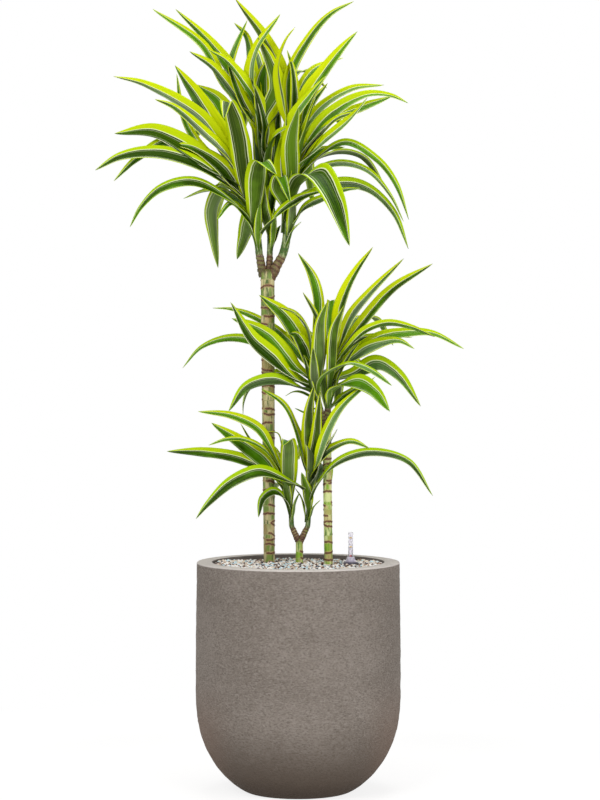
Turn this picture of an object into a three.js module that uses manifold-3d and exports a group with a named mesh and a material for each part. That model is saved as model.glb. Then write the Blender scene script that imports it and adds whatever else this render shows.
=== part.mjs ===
// A potted dracaena: three bare canes of different heights with striped, lime-edged leaves, standing in
// a round planter filled with mineral granulate, and a water level gauge beside them.
// Millimetres, +Z up. The origin is the middle of the planter's flat base.
import * as THREE from "three";
import { mergeVertices } from "three/addons/utils/BufferGeometryUtils.js";
import Module from "manifold-3d";

const wasm = await Module();
wasm.setup();

// ---------------------------------------------------------------- driving dimensions

const GAP = 0.3; // left between pieces that touch

const POT_HEIGHT = 484;
const POT_RADIUS = 216; // at the fullest height
const POT_FULLEST = 215; // height above which the wall is upright
const POT_BASE = 108; // radius of the flat it stands on
const POT_FOOT = 3.5; // height of the first step of the bowl above the flat
const POT_MOUTH = 179; // inner radius at the rim
const POT_WALL = 18; // thickness of the wall under the turned-in rim
const POT_LIP = 34; // height of the turned-in rim
const POT_FLOOR = 30; // height of the inner floor
const POT_FLOOR_RADIUS = 92;
const POT_RIM_ROUND = 2.5;
const POT_DRAWN = 2.2; // how much narrower the wall is at the rim than at its fullest
const POT_SIDES = 36;

const FILL_EDGE = 474; // height of the granulate at the wall
const FILL_MOUND = 2; // how much higher it lies in the middle
const GRAIN_RELIEF = 1.2; // height of the grains as relief

const PLANTING_DEPTH = 165; // how deep the canes stand in the granulate
const SLEEVE_RISE = 16; // how far the holes for them are cut above its edge
const SCAR_STEP = 34; // mean distance between the ring scars of a cane
const CANE_SIDES = 9;
const SCAR_RISE = 0.7; // how far a ring scar stands out
const STUB_SWELL = 1.25; // thickness of a shoot's woody stub at its root, as a share of the shoot's
const KNUCKLE_SWELL = 1.3; // radius of the knuckle round a stub's root, as a share of the shoot's
const KNUCKLE_AT = 0.3; // how far up the stub the knuckle's middle lies

const LEAF_THICKNESS = 1.8; // along the middle; thins to the edges
const LEAF_NECK = 0.3; // width of a blade's foot, as a share of its full width
const LEAF_SEAT = 0.8; // how far off the stem's axis a blade starts, as a share of its radius
const LEAF_STEP = 98; // mean length between two cross sections of a blade
const STEM_CORE = 1.5; // how much thicker the stem's middle is with the leaf feet that clasp it
const STEM_SIDES = 7;

const GAUGE_AT = new THREE.Vector2(111, 18);
const TUBE_RADIUS = 5.05;
const TUBE_BORE = 4;
const TUBE_TOP = 545;
const COLLAR_FOOT = 478; // the collar rests just above the granulate
const COLLAR_TOP = 493;
const COLLAR_RADIUS = 15.5;
const SHAFT_RADIUS = 10;
const SHAFT_BORE = 7.5;
const SHAFT_FOOT = 84; // it stands in the granulate, clear of the planter's bowl
const FLOAT_RADIUS = 6.5;
const FLOAT_LENGTH = 70;
const FLOAT_ROD = 1.4;
const FLOAT_TIP_RADIUS = 3.1;
const FLOAT_TIP_BASE = 489;
const FLOAT_TIP_TOP = 497.5;

// The routes of stems and leaves were measured square-on from the front, in the upright plane through
// the planter's axis, as [x, depth, z]. A point that lies deeper is carried back along the line of
// sight from an eye at this distance and height.
const EYE_DISTANCE = 5530;
const EYE_HEIGHT = 965;

// ---------------------------------------------------------------- what grows

// A cane stands at `at`, leans to `top` and carries shoots.
const CANES = {
  cane_tall: { at: [-61, 76], top: [-64.5, 76, 1100], radii: [11, 15], crown: 11 },
  cane_middle: { at: [66.5, 22], top: [60, 22, 772], radii: [9, 9], crown: 5.5 },
  cane_short: { at: [2.6, 57], top: [2.4, 57, 533], radii: [7.6, 7.7], crown: 6 },
};

// A shoot's axis starts inside its cane. Up to its second point it is woody and belongs to the cane.
// A leaf is [height of its base, full width, roll in degrees, then the points it passes, tip last].
// A positive roll turns the upper face of a leaf that grows to the right towards the front.
const SHOOTS = {
  shoot_tall_left: {
    cane: "cane_tall",
    radius: 8,
    axis: [[-73, 78, 1084], [-81, 77, 1127], [-86, 73, 1170], [-102, 66, 1240], [-118, 60, 1310]],
    leaves: [
      [1298, 40, -67, [-200, 53, 1417], [-320, 48, 1489], [-388, 46, 1505]],
      [1290, 43, -54, [-145, 38, 1338], [-200, 32, 1392], [-260, 26, 1441], [-301, 23, 1457]],
      [1295, 54, -74, [-150, 86, 1360], [-178, 96, 1410], [-212, 100, 1465], [-259, 104, 1528]],
      [1270, 55, -76, [-200, 46, 1338], [-300, 32, 1391], [-386, 25, 1385]],
      [1290, 28, -38, [-200, 130, 1352], [-240, 158, 1420], [-255, 170, 1510]],
      [1300, 66, -60, [-140, 112, 1396], [-170, 142, 1456], [-216, 160, 1488]],
      [1240, 57, 0, [-126, 0, 1385], [-148, -62, 1456], [-156, -128, 1416]],
      [1240, 40, -54, [-180, 58, 1312], [-270, 50, 1370], [-340, 46, 1332], [-388, 44, 1285]],
      [1232, 43, -67, [-182, 38, 1308], [-285, 28, 1345], [-372, 22, 1338], [-427, 19, 1308]],
      [1195, 37, -44, [-130, 48, 1236], [-217, 41, 1284], [-288, 38, 1271], [-330, 37, 1232], [-354, 36, 1189]],
      [1225, 44, -20, [-165, 100, 1269], [-200, 122, 1267], [-241, 140, 1249]],
      [1240, 62, -20, [-148, 130, 1284], [-181, 160, 1232], [-179, 180, 1170], [-169, 196, 1103]],
      [1165, 35, -38, [-105, 62, 1208], [-140, 54, 1241], [-172, 48, 1203]],
      [1185, 54, 0, [-98, 116, 1222], [-110, 146, 1184], [-129, 158, 1121]],
      [1195, 57, 0, [-90, 14, 1280], [-80, -50, 1331], [-45, -130, 1299]],
      [1165, 35, 44, [-50, 30, 1214], [0, 10, 1250], [60, 0, 1268]],
      [1275, 48, 0, [-150, 190, 1395], [-205, 300, 1400], [-235, 370, 1330]],
      [1255, 48, 0, [-190, 150, 1326], [-258, 215, 1350], [-300, 258, 1338]],
      [1215, 48, 0, [-130, 180, 1280], [-160, 280, 1270], [-180, 335, 1180]],
      [1150, 22, 0, [-84, 52, 1200], [-80, 44, 1240]],
      [1250, 48, -64, [-160, 50, 1318], [-225, 46, 1358], [-262, 44, 1362]],
      [1215, 39, -40, [-106, 48, 1290], [-122, 33, 1370], [-130, 22, 1412]],
    ],
  },
  shoot_tall_centre: {
    cane: "cane_tall",
    radius: 6.5,
    axis: [[-61, 82, 1090], [-60, 88, 1126], [-59, 93, 1160], [-66, 98, 1300], [-77, 100, 1415]],
    leaves: [
      [1408, 28, -76, [-150, 100, 1484], [-200, 102, 1571], [-306, 104, 1646]],
      [1410, 36, -64, [-124, 122, 1496], [-184, 132, 1576], [-258, 140, 1646]],
      [1395, 41, -64, [-140, 86, 1482], [-180, 80, 1528], [-228, 76, 1557]],
      [1350, 45, -64, [-80, 78, 1440], [-112, 69, 1497], [-150, 64, 1540], [-187, 61, 1560]],
      [1412, 42, -76, [-150, 142, 1500], [-139, 152, 1548], [-107, 160, 1623]],
      [1412, 35, -76, [-98, 158, 1535], [-108, 168, 1588], [-135, 174, 1617]],
      [1412, 41, 70, [-34, 112, 1500], [-65, 120, 1580], [-133, 128, 1669]],
      [1395, 38, -51, [-115, 89, 1455], [-138, 82, 1510], [-150, 78, 1552]],
      [1400, 52, 66, [-104, 76, 1490], [-92, 72, 1560], [-38, 68, 1635]],
      [1410, 48, 66, [-44, 84, 1480], [-60, 82, 1540], [-85, 80, 1588]],
      [1390, 58, 10, [-78, 112, 1450], [-76, 126, 1500], [-64, 142, 1542]],
      [1400, 38, 10, [-40, 90, 1440], [-36, 94, 1480], [-33, 98, 1520]],
      [1155, 15, 51, [-46, 86, 1178], [-37, 90, 1193]],
      [1405, 48, 0, [-85, 190, 1510], [-95, 290, 1560], [-100, 370, 1520]],
      [1380, 48, 0, [-40, 180, 1470], [10, 260, 1520], [60, 330, 1480]],
      [1360, 48, 0, [-95, 200, 1430], [-110, 290, 1440], [-120, 350, 1370]],
      [1140, 18, 0, [-52, 70, 1190], [-50, 62, 1230]],
      [1190, 32, 0, [-70, 62, 1226], [-74, 52, 1290]],
      [1210, 42, 10, [-54, 80, 1290], [-46, 96, 1370], [-42, 112, 1446]],
      [1240, 52, -10, [-76, 92, 1330], [-84, 116, 1400], [-108, 140, 1470]],
      [1300, 42, 60, [-66, 50, 1350], [-50, 8, 1384], [-14, -26, 1404]],
      [1330, 43, -74, [-62, 83, 1400], [-80, 79, 1460], [-100, 77, 1504]],
    ],
  },
  shoot_tall_right: {
    cane: "cane_tall",
    radius: 9,
    axis: [[-59, 76, 1081], [-36, 72, 1124], [-26, 64, 1156], [-20, 56, 1230], [-12, 52, 1320], [-12, 50, 1380]],
    leaves: [
      [1372, 40, 76, [-38, 40, 1450], [-46, 37, 1525], [-28, 34, 1580], [-7, 33, 1608]],
      [1375, 28, 76, [-20, 78, 1499], [24, 92, 1587], [68, 98, 1636], [117, 102, 1662]],
      [1375, 35, 20, [-6, 66, 1470], [-11, 78, 1520], [-23, 90, 1560]],
      [1370, 43, 70, [15, 40, 1458], [54, 34, 1518], [94, 30, 1568], [124, 28, 1599]],
      [1370, 41, 20, [0, 84, 1465], [34, 112, 1522], [94, 142, 1544]],
      [1275, 43, 76, [-18, 28, 1405], [22, 20, 1465], [58, 12, 1506]],
      [1350, 32, 38, [22, 92, 1440], [62, 116, 1491]],
      [1365, 37, 51, [40, 66, 1436], [110, 62, 1480], [180, 60, 1487]],
      [1330, 41, 58, [30, 40, 1390], [80, 32, 1438], [145, 27, 1469], [195, 25, 1466], [231, 23, 1449]],
      [1345, 41, 51, [60, 84, 1412], [130, 98, 1440], [197, 106, 1463]],
      [1310, 38, 58, [40, 9, 1362], [110, -23, 1420], [145, -40, 1460]],
      [1320, 45, 51, [40, 27, 1380], [80, 10, 1418], [122, -6, 1430]],
      [1275, 26, 51, [40, 42, 1336], [100, 37, 1368], [166, 32, 1332], [205, 30, 1282], [233, 29, 1204]],
      [1265, 33, 38, [50, 88, 1316], [100, 96, 1324], [150, 104, 1306], [194, 110, 1256], [222, 114, 1200]],
      [1232, 40, 50, [30, 84, 1262], [90, 92, 1283], [150, 100, 1270], [202, 110, 1220], [232, 118, 1143]],
      [1240, 68, 25, [4, -4, 1298], [38, -50, 1311], [77, -108, 1251], [108, -140, 1149]],
      [1185, 28, 51, [10, 44, 1230], [50, 40, 1250], [98, 37, 1268], [132, 34, 1270]],
      [1290, 32, 38, [38, 76, 1348], [98, 90, 1357]],
      [1160, 16, 38, [-14, 40, 1182], [6, 30, 1200]],
      [1290, 49, 0, [-16, -14, 1370], [0, -88, 1440]],
      [1320, 41, 38, [12, 10, 1400], [36, -17, 1461]],
      [1340, 48, 0, [28, 150, 1424], [70, 240, 1432], [92, 310, 1398]],
      [1300, 48, 0, [66, 150, 1348], [134, 220, 1338], [184, 270, 1272]],
      [1270, 48, 0, [10, 180, 1330], [20, 280, 1320], [30, 340, 1230]],
      [1225, 43, 0, [40, 150, 1270], [76, 220, 1244], [96, 262, 1186]],
      [1180, 29, 0, [-12, 44, 1240], [-4, 36, 1286]],
      [1234, 37, 0, [-46, 14, 1276], [-38, -14, 1298], [-16, -46, 1240]],
      [1240, 51, 60, [-32, 40, 1320], [-16, 50, 1390], [30, 60, 1456]],
    ],
  },
  shoot_middle_left: {
    cane: "cane_middle",
    radius: 7,
    axis: [[57, 21, 764], [48, 20, 798], [39, 19, 840], [42, 19, 930]],
    leaves: [
      [922, 52, 10, [45, 49, 985], [42, 60, 1040], [28, 70, 1090], [0, 76, 1134]],
      [925, 32, -20, [50, -6, 965], [37, -24, 1008], [10, -44, 1052]],
      [895, 42, -38, [26, 2, 970], [0, -16, 1006], [-44, -38, 1022]],
      [900, 54, -51, [8, 36, 950], [-30, 42, 1006], [-82, 46, 1046]],
      [875, 46, -20, [18, 8, 925], [-2, 12, 962], [-24, 54, 966]],
      [860, 50, -64, [-8, 14, 900], [-60, 8, 958], [-100, 4, 982], [-140, 2, 997]],
      [840, 46, -72, [0, -1, 868], [-45, -22, 910], [-95, -42, 955], [-142, -56, 1031]],
      [835, 33, -61, [0, -5, 855], [-50, -21, 870], [-108, -38, 854], [-147, -45, 801]],
      [870, 31, -38, [-40, 120, 968], [-100, 136, 1004], [-140, 144, 1017], [-180, 150, 1019]],
      [855, 31, -51, [-40, 120, 922], [-95, 132, 950], [-150, 140, 956], [-205, 145, 936], [-244, 148, 892]],
      [845, 42, -38, [-50, 112, 880], [-104, 132, 852], [-117, 138, 820], [-117, 140, 793]],
      [825, 15, -20, [8, 40, 842], [-12, 50, 843], [-27, 56, 834]],
      [808, 13, -20, [18, 40, 799], [-7, 52, 808]],
      [840, 28, 0, [34, -24, 885], [31, -46, 936]],
      [830, 29, 25, [50, -24, 874], [105, -76, 904], [152, -108, 889], [198, -132, 855]],
      [880, 42, 0, [20, 150, 960], [0, 240, 970], [-20, 300, 900]],
      [850, 42, 0, [40, 130, 890], [50, 220, 880], [60, 280, 800]],
      [860, 42, 0, [44, -4, 930], [48, -30, 990], [60, -50, 1030]],
      [820, 34, -20, [26, 0, 870], [12, -16, 920]],
      [900, 30, -60, [40, 30, 950], [37, 40, 985], [34, 44, 1008]],
    ],
  },
  shoot_middle_right: {
    cane: "cane_middle",
    radius: 7,
    axis: [[58, 23, 764], [62, 27, 802], [68, 30, 870], [74, 32, 935]],
    leaves: [
      [925, 33, 70, [81, 22, 1000], [97, 16, 1054], [122, 14, 1100], [157, 12, 1147]],
      [925, 26, 70, [107, 36, 998], [150, 36, 1052], [222, 36, 1123]],
      [915, 33, 70, [138, 48, 996], [197, 54, 1060], [283, 58, 1112]],
      [890, 38, 51, [110, 60, 922], [170, 72, 957], [230, 75, 968], [285, 77, 966], [349, 78, 933]],
      [900, 26, 54, [108, 14, 944], [145, 8, 976], [190, 5, 989], [240, 3, 979], [288, 2, 958]],
      [880, 46, 38, [118, 40, 920], [165, 36, 944], [212, 34, 951], [245, 34, 933]],
      [885, 32, 20, [110, 90, 945], [165, 104, 962], [240, 112, 957]],
      [860, 56, 51, [122, 72, 884], [168, 76, 905], [212, 78, 879], [258, 80, 812]],
      [835, 47, 51, [88, 11, 858], [123, -1, 866], [160, -12, 845], [193, -20, 801]],
      [805, 28, 38, [88, 56, 828], [135, 72, 858]],
      [815, 25, 10, [66, 4, 846], [88, -2, 859]],
      [920, 39, 0, [68, 66, 985], [70, 84, 1037], [68, 122, 1020]],
      [900, 42, 0, [110, 130, 990], [160, 200, 1000], [200, 250, 940]],
      [870, 42, 0, [100, 150, 916], [126, 230, 900], [140, 276, 856]],
      [840, 37, 0, [80, 130, 866], [84, 190, 850], [80, 228, 800]],
      [905, 39, 0, [70, 150, 990], [74, 230, 1028], [84, 300, 1020]],
      [850, 42, 20, [70, 4, 920], [78, -20, 980], [96, -34, 1024]],
      [830, 32, 40, [84, 22, 880], [110, 16, 926], [132, 11, 950]],
    ],
  },
  shoot_short_left: {
    cane: "cane_short",
    radius: 5.5,
    axis: [[0, 57, 528], [-11, 57, 553], [-15, 57, 585], [-20, 56, 640], [-25, 54, 675]],
    leaves: [
      [618, 37, -61, [-55, 44, 670], [-120, 37, 702], [-200, 33, 715], [-277, 31, 717]],
      [660, 34, -56, [-60, 40, 733], [-86, 38, 768], [-140, 34, 793], [-211, 32, 801]],
      [630, 46, -76, [-60, 46, 688], [-105, 44, 724], [-183, 42, 777]],
      [640, 28, -38, [-60, 30, 712], [-110, 11, 742], [-150, 1, 743], [-189, -7, 730]],
      [635, 28, 0, [-42, 118, 690], [-95, 128, 735], [-121, 134, 775]],
      [625, 46, 0, [-19, 14, 685], [-20, -36, 743], [-32, -92, 730]],
      [655, 21, 0, [-32, 60, 728], [-42, 56, 756], [-67, 52, 759]],
      [585, 25, -51, [-28, 45, 620], [-50, 32, 634], [-75, 21, 618], [-84, 14, 577]],
      [580, 12, 10, [-8, 44, 606], [2, 38, 630]],
      [650, 37, 0, [-58, 140, 724], [-86, 220, 728], [-108, 270, 690]],
      [620, 37, 0, [-34, 150, 655], [-54, 220, 640], [-62, 258, 586]],
      [665, 37, 0, [-10, 140, 716], [-4, 220, 732], [2, 280, 700]],
      [610, 32, -20, [-30, 34, 680], [-36, 20, 730]],
    ],
  },
  shoot_short_right: {
    cane: "cane_short",
    radius: 5.5,
    axis: [[5, 57, 528], [17, 57, 553], [22, 57, 590], [25, 56, 650], [27, 54, 700]],
    leaves: [
      [655, 30, 70, [38, -8, 700], [60, -20, 762], [90, -10, 812], [162, 16, 874]],
      [600, 39, -45, [12, 30, 636], [-22, -8, 658], [-80, -46, 676], [-140, -70, 653], [-190, -88, 607], [-216, -96, 574]],
      [655, 34, -64, [14, 27, 700], [0, 11, 758], [-30, -1, 817], [-78, -11, 849]],
      [690, 37, 0, [21, -4, 760], [24, -34, 810], [34, -60, 857]],
      [690, 32, 0, [37, -4, 745], [41, -36, 795], [46, -66, 842]],
      [660, 37, 45, [43, -4, 702], [74, -18, 727], [112, -14, 739], [150, -10, 724]],
      [595, 28, 45, [40, 8, 648], [80, -16, 694], [150, -14, 716], [232, -14, 697], [284, -14, 623]],
      [585, 12, -10, [8, 54, 618], [-6, 60, 639]],
      [598, 27, 0, [21, 32, 628], [13, 12, 655], [7, 0, 673]],
      [580, 15, 20, [31, 44, 600], [46, 38, 614]],
      [680, 37, 0, [32, 140, 756], [32, 220, 768], [36, 280, 730]],
      [640, 37, 0, [54, 120, 690], [62, 190, 682], [64, 230, 622]],
      [620, 32, 20, [28, 30, 700], [22, 10, 760], [30, 4, 800]],
      [640, 36, 60, [50, -12, 712], [82, -34, 764]],
    ],
  },
};

const FINISHES = {
  planter: { color: 0x7d756c, roughness: 0.9, metalness: 0 },
  substrate: { color: 0xb9ab98, roughness: 0.95, metalness: 0 },
  cane: { color: 0x8a8f55, roughness: 0.7, metalness: 0 },
  leaf: { color: 0x6f9a14, roughness: 0.4, metalness: 0 },
  shaft: { color: 0x7c7684, roughness: 0.5, metalness: 0 },
  collar: { color: 0x8b8494, roughness: 0.45, metalness: 0 },
  tube: { color: 0xdcdade, roughness: 0.1, metalness: 0, transparent: true, opacity: 0.4 },
  float: { color: 0xc8301c, roughness: 0.35, metalness: 0 },
};

// ---------------------------------------------------------------- solids

function smooth(edge0, edge1, value) {
  return THREE.MathUtils.smoothstep(value, edge0, edge1);
}

// A fixed, repeatable value between -1 and 1 for a pair of numbers.
function noise(a, b) {
  const wave = Math.sin(a * 127.1 + b * 311.7) * 43758.5453;
  return 2 * (wave - Math.floor(wave)) - 1;
}

function solidOf(geometry) {
  const bare = geometry.clone();
  for (const name of Object.keys(bare.attributes)) {
    if (name !== "position") bare.deleteAttribute(name);
  }
  const merged = mergeVertices(bare, 1e-4);
  const vertProperties = new Float32Array(merged.attributes.position.array);
  const triVerts = new Uint32Array(merged.index.array);
  return new wasm.Manifold(new wasm.Mesh({ numProp: 3, vertProperties, triVerts }));
}

function geometryOf(solid) {
  const { vertProperties, triVerts } = solid.getMesh();
  const geometry = new THREE.BufferGeometry();
  geometry.setAttribute("position", new THREE.BufferAttribute(new Float32Array(vertProperties), 3));
  geometry.setIndex(new THREE.BufferAttribute(new Uint32Array(triVerts), 1));
  geometry.computeVertexNormals();
  return geometry;
}

// Joins overlapping solids into one body. Hollows that this seals are filled, loose scraps dropped.
function fuse(solids) {
  const whole = solids.reduce((joined, solid) => joined.add(solid));
  return whole.decompose().reduce((best, body) => (body.volume() > best.volume() ? body : best));
}

function meshOf(name, geometry, finish) {
  const mesh = new THREE.Mesh(geometry, new THREE.MeshStandardMaterial(FINISHES[finish]));
  mesh.name = name;
  return mesh;
}

// A round body about an upright axis, from [radius, height] pairs that start and end on the axis or,
// for a ring, close on themselves.
function turned(profile, sides) {
  const points = profile.map(([radius, height]) => new THREE.Vector2(radius, height));
  return new THREE.LatheGeometry(points, sides).rotateX(Math.PI / 2);
}

// Carries a point measured from the front back to its depth.
function sighted([x, depth, z]) {
  const scale = 1 + depth / EYE_DISTANCE;
  return new THREE.Vector3(x * scale, depth, EYE_HEIGHT + (z - EYE_HEIGHT) * scale);
}

// A round body along a line, from [radius, share of the length] pairs that start and end on the line.
function sweptAlong(points, profile) {
  const line = new THREE.CatmullRomCurve3(points, false, "centripetal");
  const body = turned(profile, STEM_SIDES);
  const position = body.attributes.position;
  for (let at = 0; at < position.count; at += 1) {
    const share = THREE.MathUtils.clamp(position.getZ(at), 0, 1);
    const forward = line.getTangentAt(share);
    const side = forward.clone().cross(new THREE.Vector3(0, -1, 0)).normalize();
    const front = forward.clone().cross(side);
    const place = line.getPointAt(share).addScaledVector(side, position.getX(at));
    position.setXYZ(at, ...place.addScaledVector(front, position.getY(at)));
  }
  return body;
}

// ---------------------------------------------------------------- planter and filling

function potOuterRadius(height) {
  const down = Math.max(0, 1 - height / POT_FULLEST);
  const bulge = Math.max(0, 1 - down ** 2.55) ** 0.79;
  return height >= POT_FULLEST ? POT_RADIUS : POT_BASE + (POT_RADIUS - POT_BASE) * bulge;
}

// The inside of the planter from under its rim down to the floor, drawn in by a margin.
function potInside(margin) {
  const below = POT_HEIGHT - POT_LIP;
  const rows = [[POT_MOUTH - margin, below], [POT_RADIUS - POT_WALL - margin, below - 24 - margin]];
  for (const height of [POT_FULLEST, 130, 70]) {
    rows.push([potOuterRadius(height) - POT_WALL - margin, height]);
  }
  rows.push([POT_FLOOR_RADIUS - margin, POT_FLOOR + margin], [0, POT_FLOOR + margin]);
  return rows;
}

function planter() {
  const profile = [[0, 0], [POT_BASE, 0]];
  for (const height of [POT_FOOT, 14, 32, 60, 100, 150, POT_FULLEST]) {
    profile.push([potOuterRadius(height), height]);
  }
  profile.push([POT_RADIUS - POT_DRAWN, POT_HEIGHT - POT_RIM_ROUND]);
  profile.push([POT_RADIUS - POT_DRAWN - POT_RIM_ROUND, POT_HEIGHT]);
  profile.push([POT_MOUTH + POT_RIM_ROUND, POT_HEIGHT]);
  profile.push([POT_MOUTH, POT_HEIGHT - POT_RIM_ROUND], ...potInside(0));
  return meshOf("planter", turned(profile, POT_SIDES), "planter");
}

function fillTop(radius, index, ring) {
  const mound = FILL_MOUND * (1 - (radius / POT_MOUTH) ** 2);
  return FILL_EDGE + mound + GRAIN_RELIEF * noise(index, ring);
}

// The granulate: a turned body whose top is rippled by a fixed rule, with plain holes for what
// stands in it.
function substrate() {
  const sides = POT_SIDES;
  const rings = 5;
  const profile = potInside(GAP).reverse();
  const sideRows = profile.length;
  for (let ring = rings; ring >= 0; ring -= 1) profile.push([((POT_MOUTH - GAP) * ring) / rings, FILL_EDGE]);
  const body = turned(profile, sides);
  const position = body.attributes.position;
  for (let at = 0; at < position.count; at += 1) {
    const row = at % profile.length;
    const column = Math.floor(at / profile.length) % sides;
    const ring = rings - (row - sideRows);
    if (row < sideRows) continue;
    const radius = Math.hypot(position.getX(at), position.getY(at));
    position.setZ(at, fillTop(radius, ring === 0 ? 0 : column, ring));
  }
  const holes = Object.values(CANES).map((cane) => solidOf(caneSleeve(cane)));
  const shaftHole = turned([[0, SHAFT_FOOT - GAP], [SHAFT_RADIUS + GAP, SHAFT_FOOT - GAP], [SHAFT_RADIUS + GAP, 520], [0, 520]], 20);
  holes.push(solidOf(shaftHole.translate(GAUGE_AT.x, GAUGE_AT.y, 0)));
  const bored = holes.reduce((left, hole) => left.subtract(hole), solidOf(body));
  return meshOf("substrate", geometryOf(bored), "substrate");
}

// ---------------------------------------------------------------- canes

function caneFrame({ at, top }) {
  const head = sighted(top);
  const foot = new THREE.Vector3(at[0], at[1], FILL_EDGE - PLANTING_DEPTH);
  const up = head.clone().sub(foot);
  const turn = new THREE.Quaternion().setFromUnitVectors(new THREE.Vector3(0, 0, 1), up.clone().normalize());
  return { foot, length: up.length(), turn };
}

function placed(geometry, { foot, turn }) {
  return geometry.applyQuaternion(turn).translate(foot.x, foot.y, foot.z);
}

// The room that a cane takes in the granulate.
function caneSleeve(cane) {
  const frame = caneFrame(cane);
  const mouth = PLANTING_DEPTH + SLEEVE_RISE;
  const radius = THREE.MathUtils.lerp(...cane.radii, mouth / frame.length) + GAP;
  return placed(turned([[0, -GAP], [radius, -GAP], [radius, mouth], [0, mouth]], CANE_SIDES), frame);
}

// A cane with a raised ring at each old leaf scar, and a rounded, woody crown.
function caneTrunk(cane) {
  const frame = caneFrame(cane);
  const [low, high] = cane.radii;
  const radiusAt = (height) => THREE.MathUtils.lerp(low, high, height / frame.length);
  const profile = [[0, 0], [low - 1, 0], [low, 3]];
  let scar = PLANTING_DEPTH + SLEEVE_RISE + SCAR_STEP / 4;
  for (let index = 0; scar < frame.length - 8; index += 1) {
    profile.push([radiusAt(scar) - 0.2, scar - 3], [radiusAt(scar) + SCAR_RISE, scar]);
    scar += SCAR_STEP * (1 + 0.25 * noise(index, low));
  }
  profile.push([high, frame.length - 4], [cane.crown, frame.length], [0, frame.length]);
  return placed(turned(profile, CANE_SIDES), frame);
}

function cane(name) {
  const parts = [solidOf(caneTrunk(CANES[name]))];
  for (const shoot of Object.values(SHOOTS).filter((each) => each.cane === name)) {
    const [root, neck] = shoot.axis.map(sighted);
    const thick = shoot.radius * STUB_SWELL;
    parts.push(solidOf(sweptAlong([root, neck], [[0, 0], [thick, 0], [shoot.radius + 0.6, 1], [0, 1]])));
    const knuckle = new THREE.SphereGeometry(shoot.radius * KNUCKLE_SWELL, 7, 5);
    const heart = root.clone().lerp(neck, KNUCKLE_AT);
    parts.push(solidOf(knuckle.translate(heart.x, heart.y, heart.z)));
  }
  return meshOf(name, geometryOf(fuse(parts)), "cane");
}

// ---------------------------------------------------------------- leafy shoots

function bladeWidth(width, along) {
  const neck = LEAF_NECK + (1 - LEAF_NECK) * smooth(0, 0.5, along);
  return width * neck * (1 - along ** 3.2) ** 0.85;
}

function bladeFold(along) {
  const opened = smooth(0, 0.35, along);
  return THREE.MathUtils.degToRad(40 - 11 * opened - 8 * along);
}

// Directions of a blade: along it, across it and out of its upper face.
function bladeFrame(curve, heading, roll, along) {
  const forward = curve.getTangentAt(along);
  const across = new THREE.Vector3(0, 0, 1).cross(heading);
  across.addScaledVector(forward, -across.dot(forward)).normalize();
  across.applyAxisAngle(forward, THREE.MathUtils.degToRad(roll) * smooth(0.05, 0.55, along));
  const upper = forward.clone().cross(across);
  return { forward, across, upper };
}

// One leaf: a folded, pointed blade of diamond section, with gently waved edges.
function blade(points, width, roll, phase) {
  const curve = new THREE.CatmullRomCurve3(points, false, "centripetal");
  const length = curve.getLength();
  const steps = Math.max(3, Math.round(length / LEAF_STEP));
  const heading = points.at(-1).clone().sub(points[0]).setZ(0).normalize();
  const vertices = [];
  const faces = [];
  for (let step = 0; step < steps; step += 1) {
    const along = step / steps;
    const middle = curve.getPointAt(along);
    const { across, upper } = bladeFrame(curve, heading, roll, along);
    const half = bladeWidth(width, along) / 2;
    const fold = bladeFold(along);
    middle.addScaledVector(upper, -half * Math.sin(fold) * smooth(0.08, 0.35, along));
    for (const side of [-1, 1]) {
      const wave = 0.035 * width * Math.sin(Math.PI * along) * Math.sin(11 * along + phase + side);
      const edge = middle.clone().addScaledVector(across, side * half * Math.cos(fold));
      vertices.push(...edge.addScaledVector(upper, half * Math.sin(fold) + wave));
      const face = middle.clone().addScaledVector(upper, (side * LEAF_THICKNESS) / 2);
      vertices.push(...face);
    }
  }
  vertices.push(...points.at(-1));
  // In each ring: 0 left edge, 1 under, 2 right edge, 3 upper. Both faces are split alike.
  for (let step = 0; step < steps - 1; step += 1) {
    const ring = 4 * step;
    for (const [edge, face, flip] of [[0, 1, true], [0, 3, false], [2, 1, false], [2, 3, true]]) {
      const [a, b, c, d] = [ring + edge, ring + face, ring + 4 + face, ring + 4 + edge];
      faces.push(...(flip ? [a, b, c, a, c, d] : [a, c, b, a, d, c]));
    }
  }
  const last = 4 * (steps - 1);
  for (const [a, b] of [[0, 1], [1, 2], [2, 3], [3, 0]]) faces.push(last + a, last + b, vertices.length / 3 - 1);
  faces.push(0, 2, 1, 0, 3, 2);
  const geometry = new THREE.BufferGeometry();
  geometry.setAttribute("position", new THREE.Float32BufferAttribute(vertices, 3));
  geometry.setIndex(faces);
  return geometry;
}

// The point of a shoot's axis at a height measured from the front.
function axisAt(axis, height) {
  const upper = Math.max(1, axis.findIndex((point) => point[2] >= height));
  const [low, high] = [axis[upper - 1], axis[upper]];
  const share = (height - low[2]) / (high[2] - low[2]);
  return low.map((value, index) => THREE.MathUtils.lerp(value, high[index], share));
}

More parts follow.
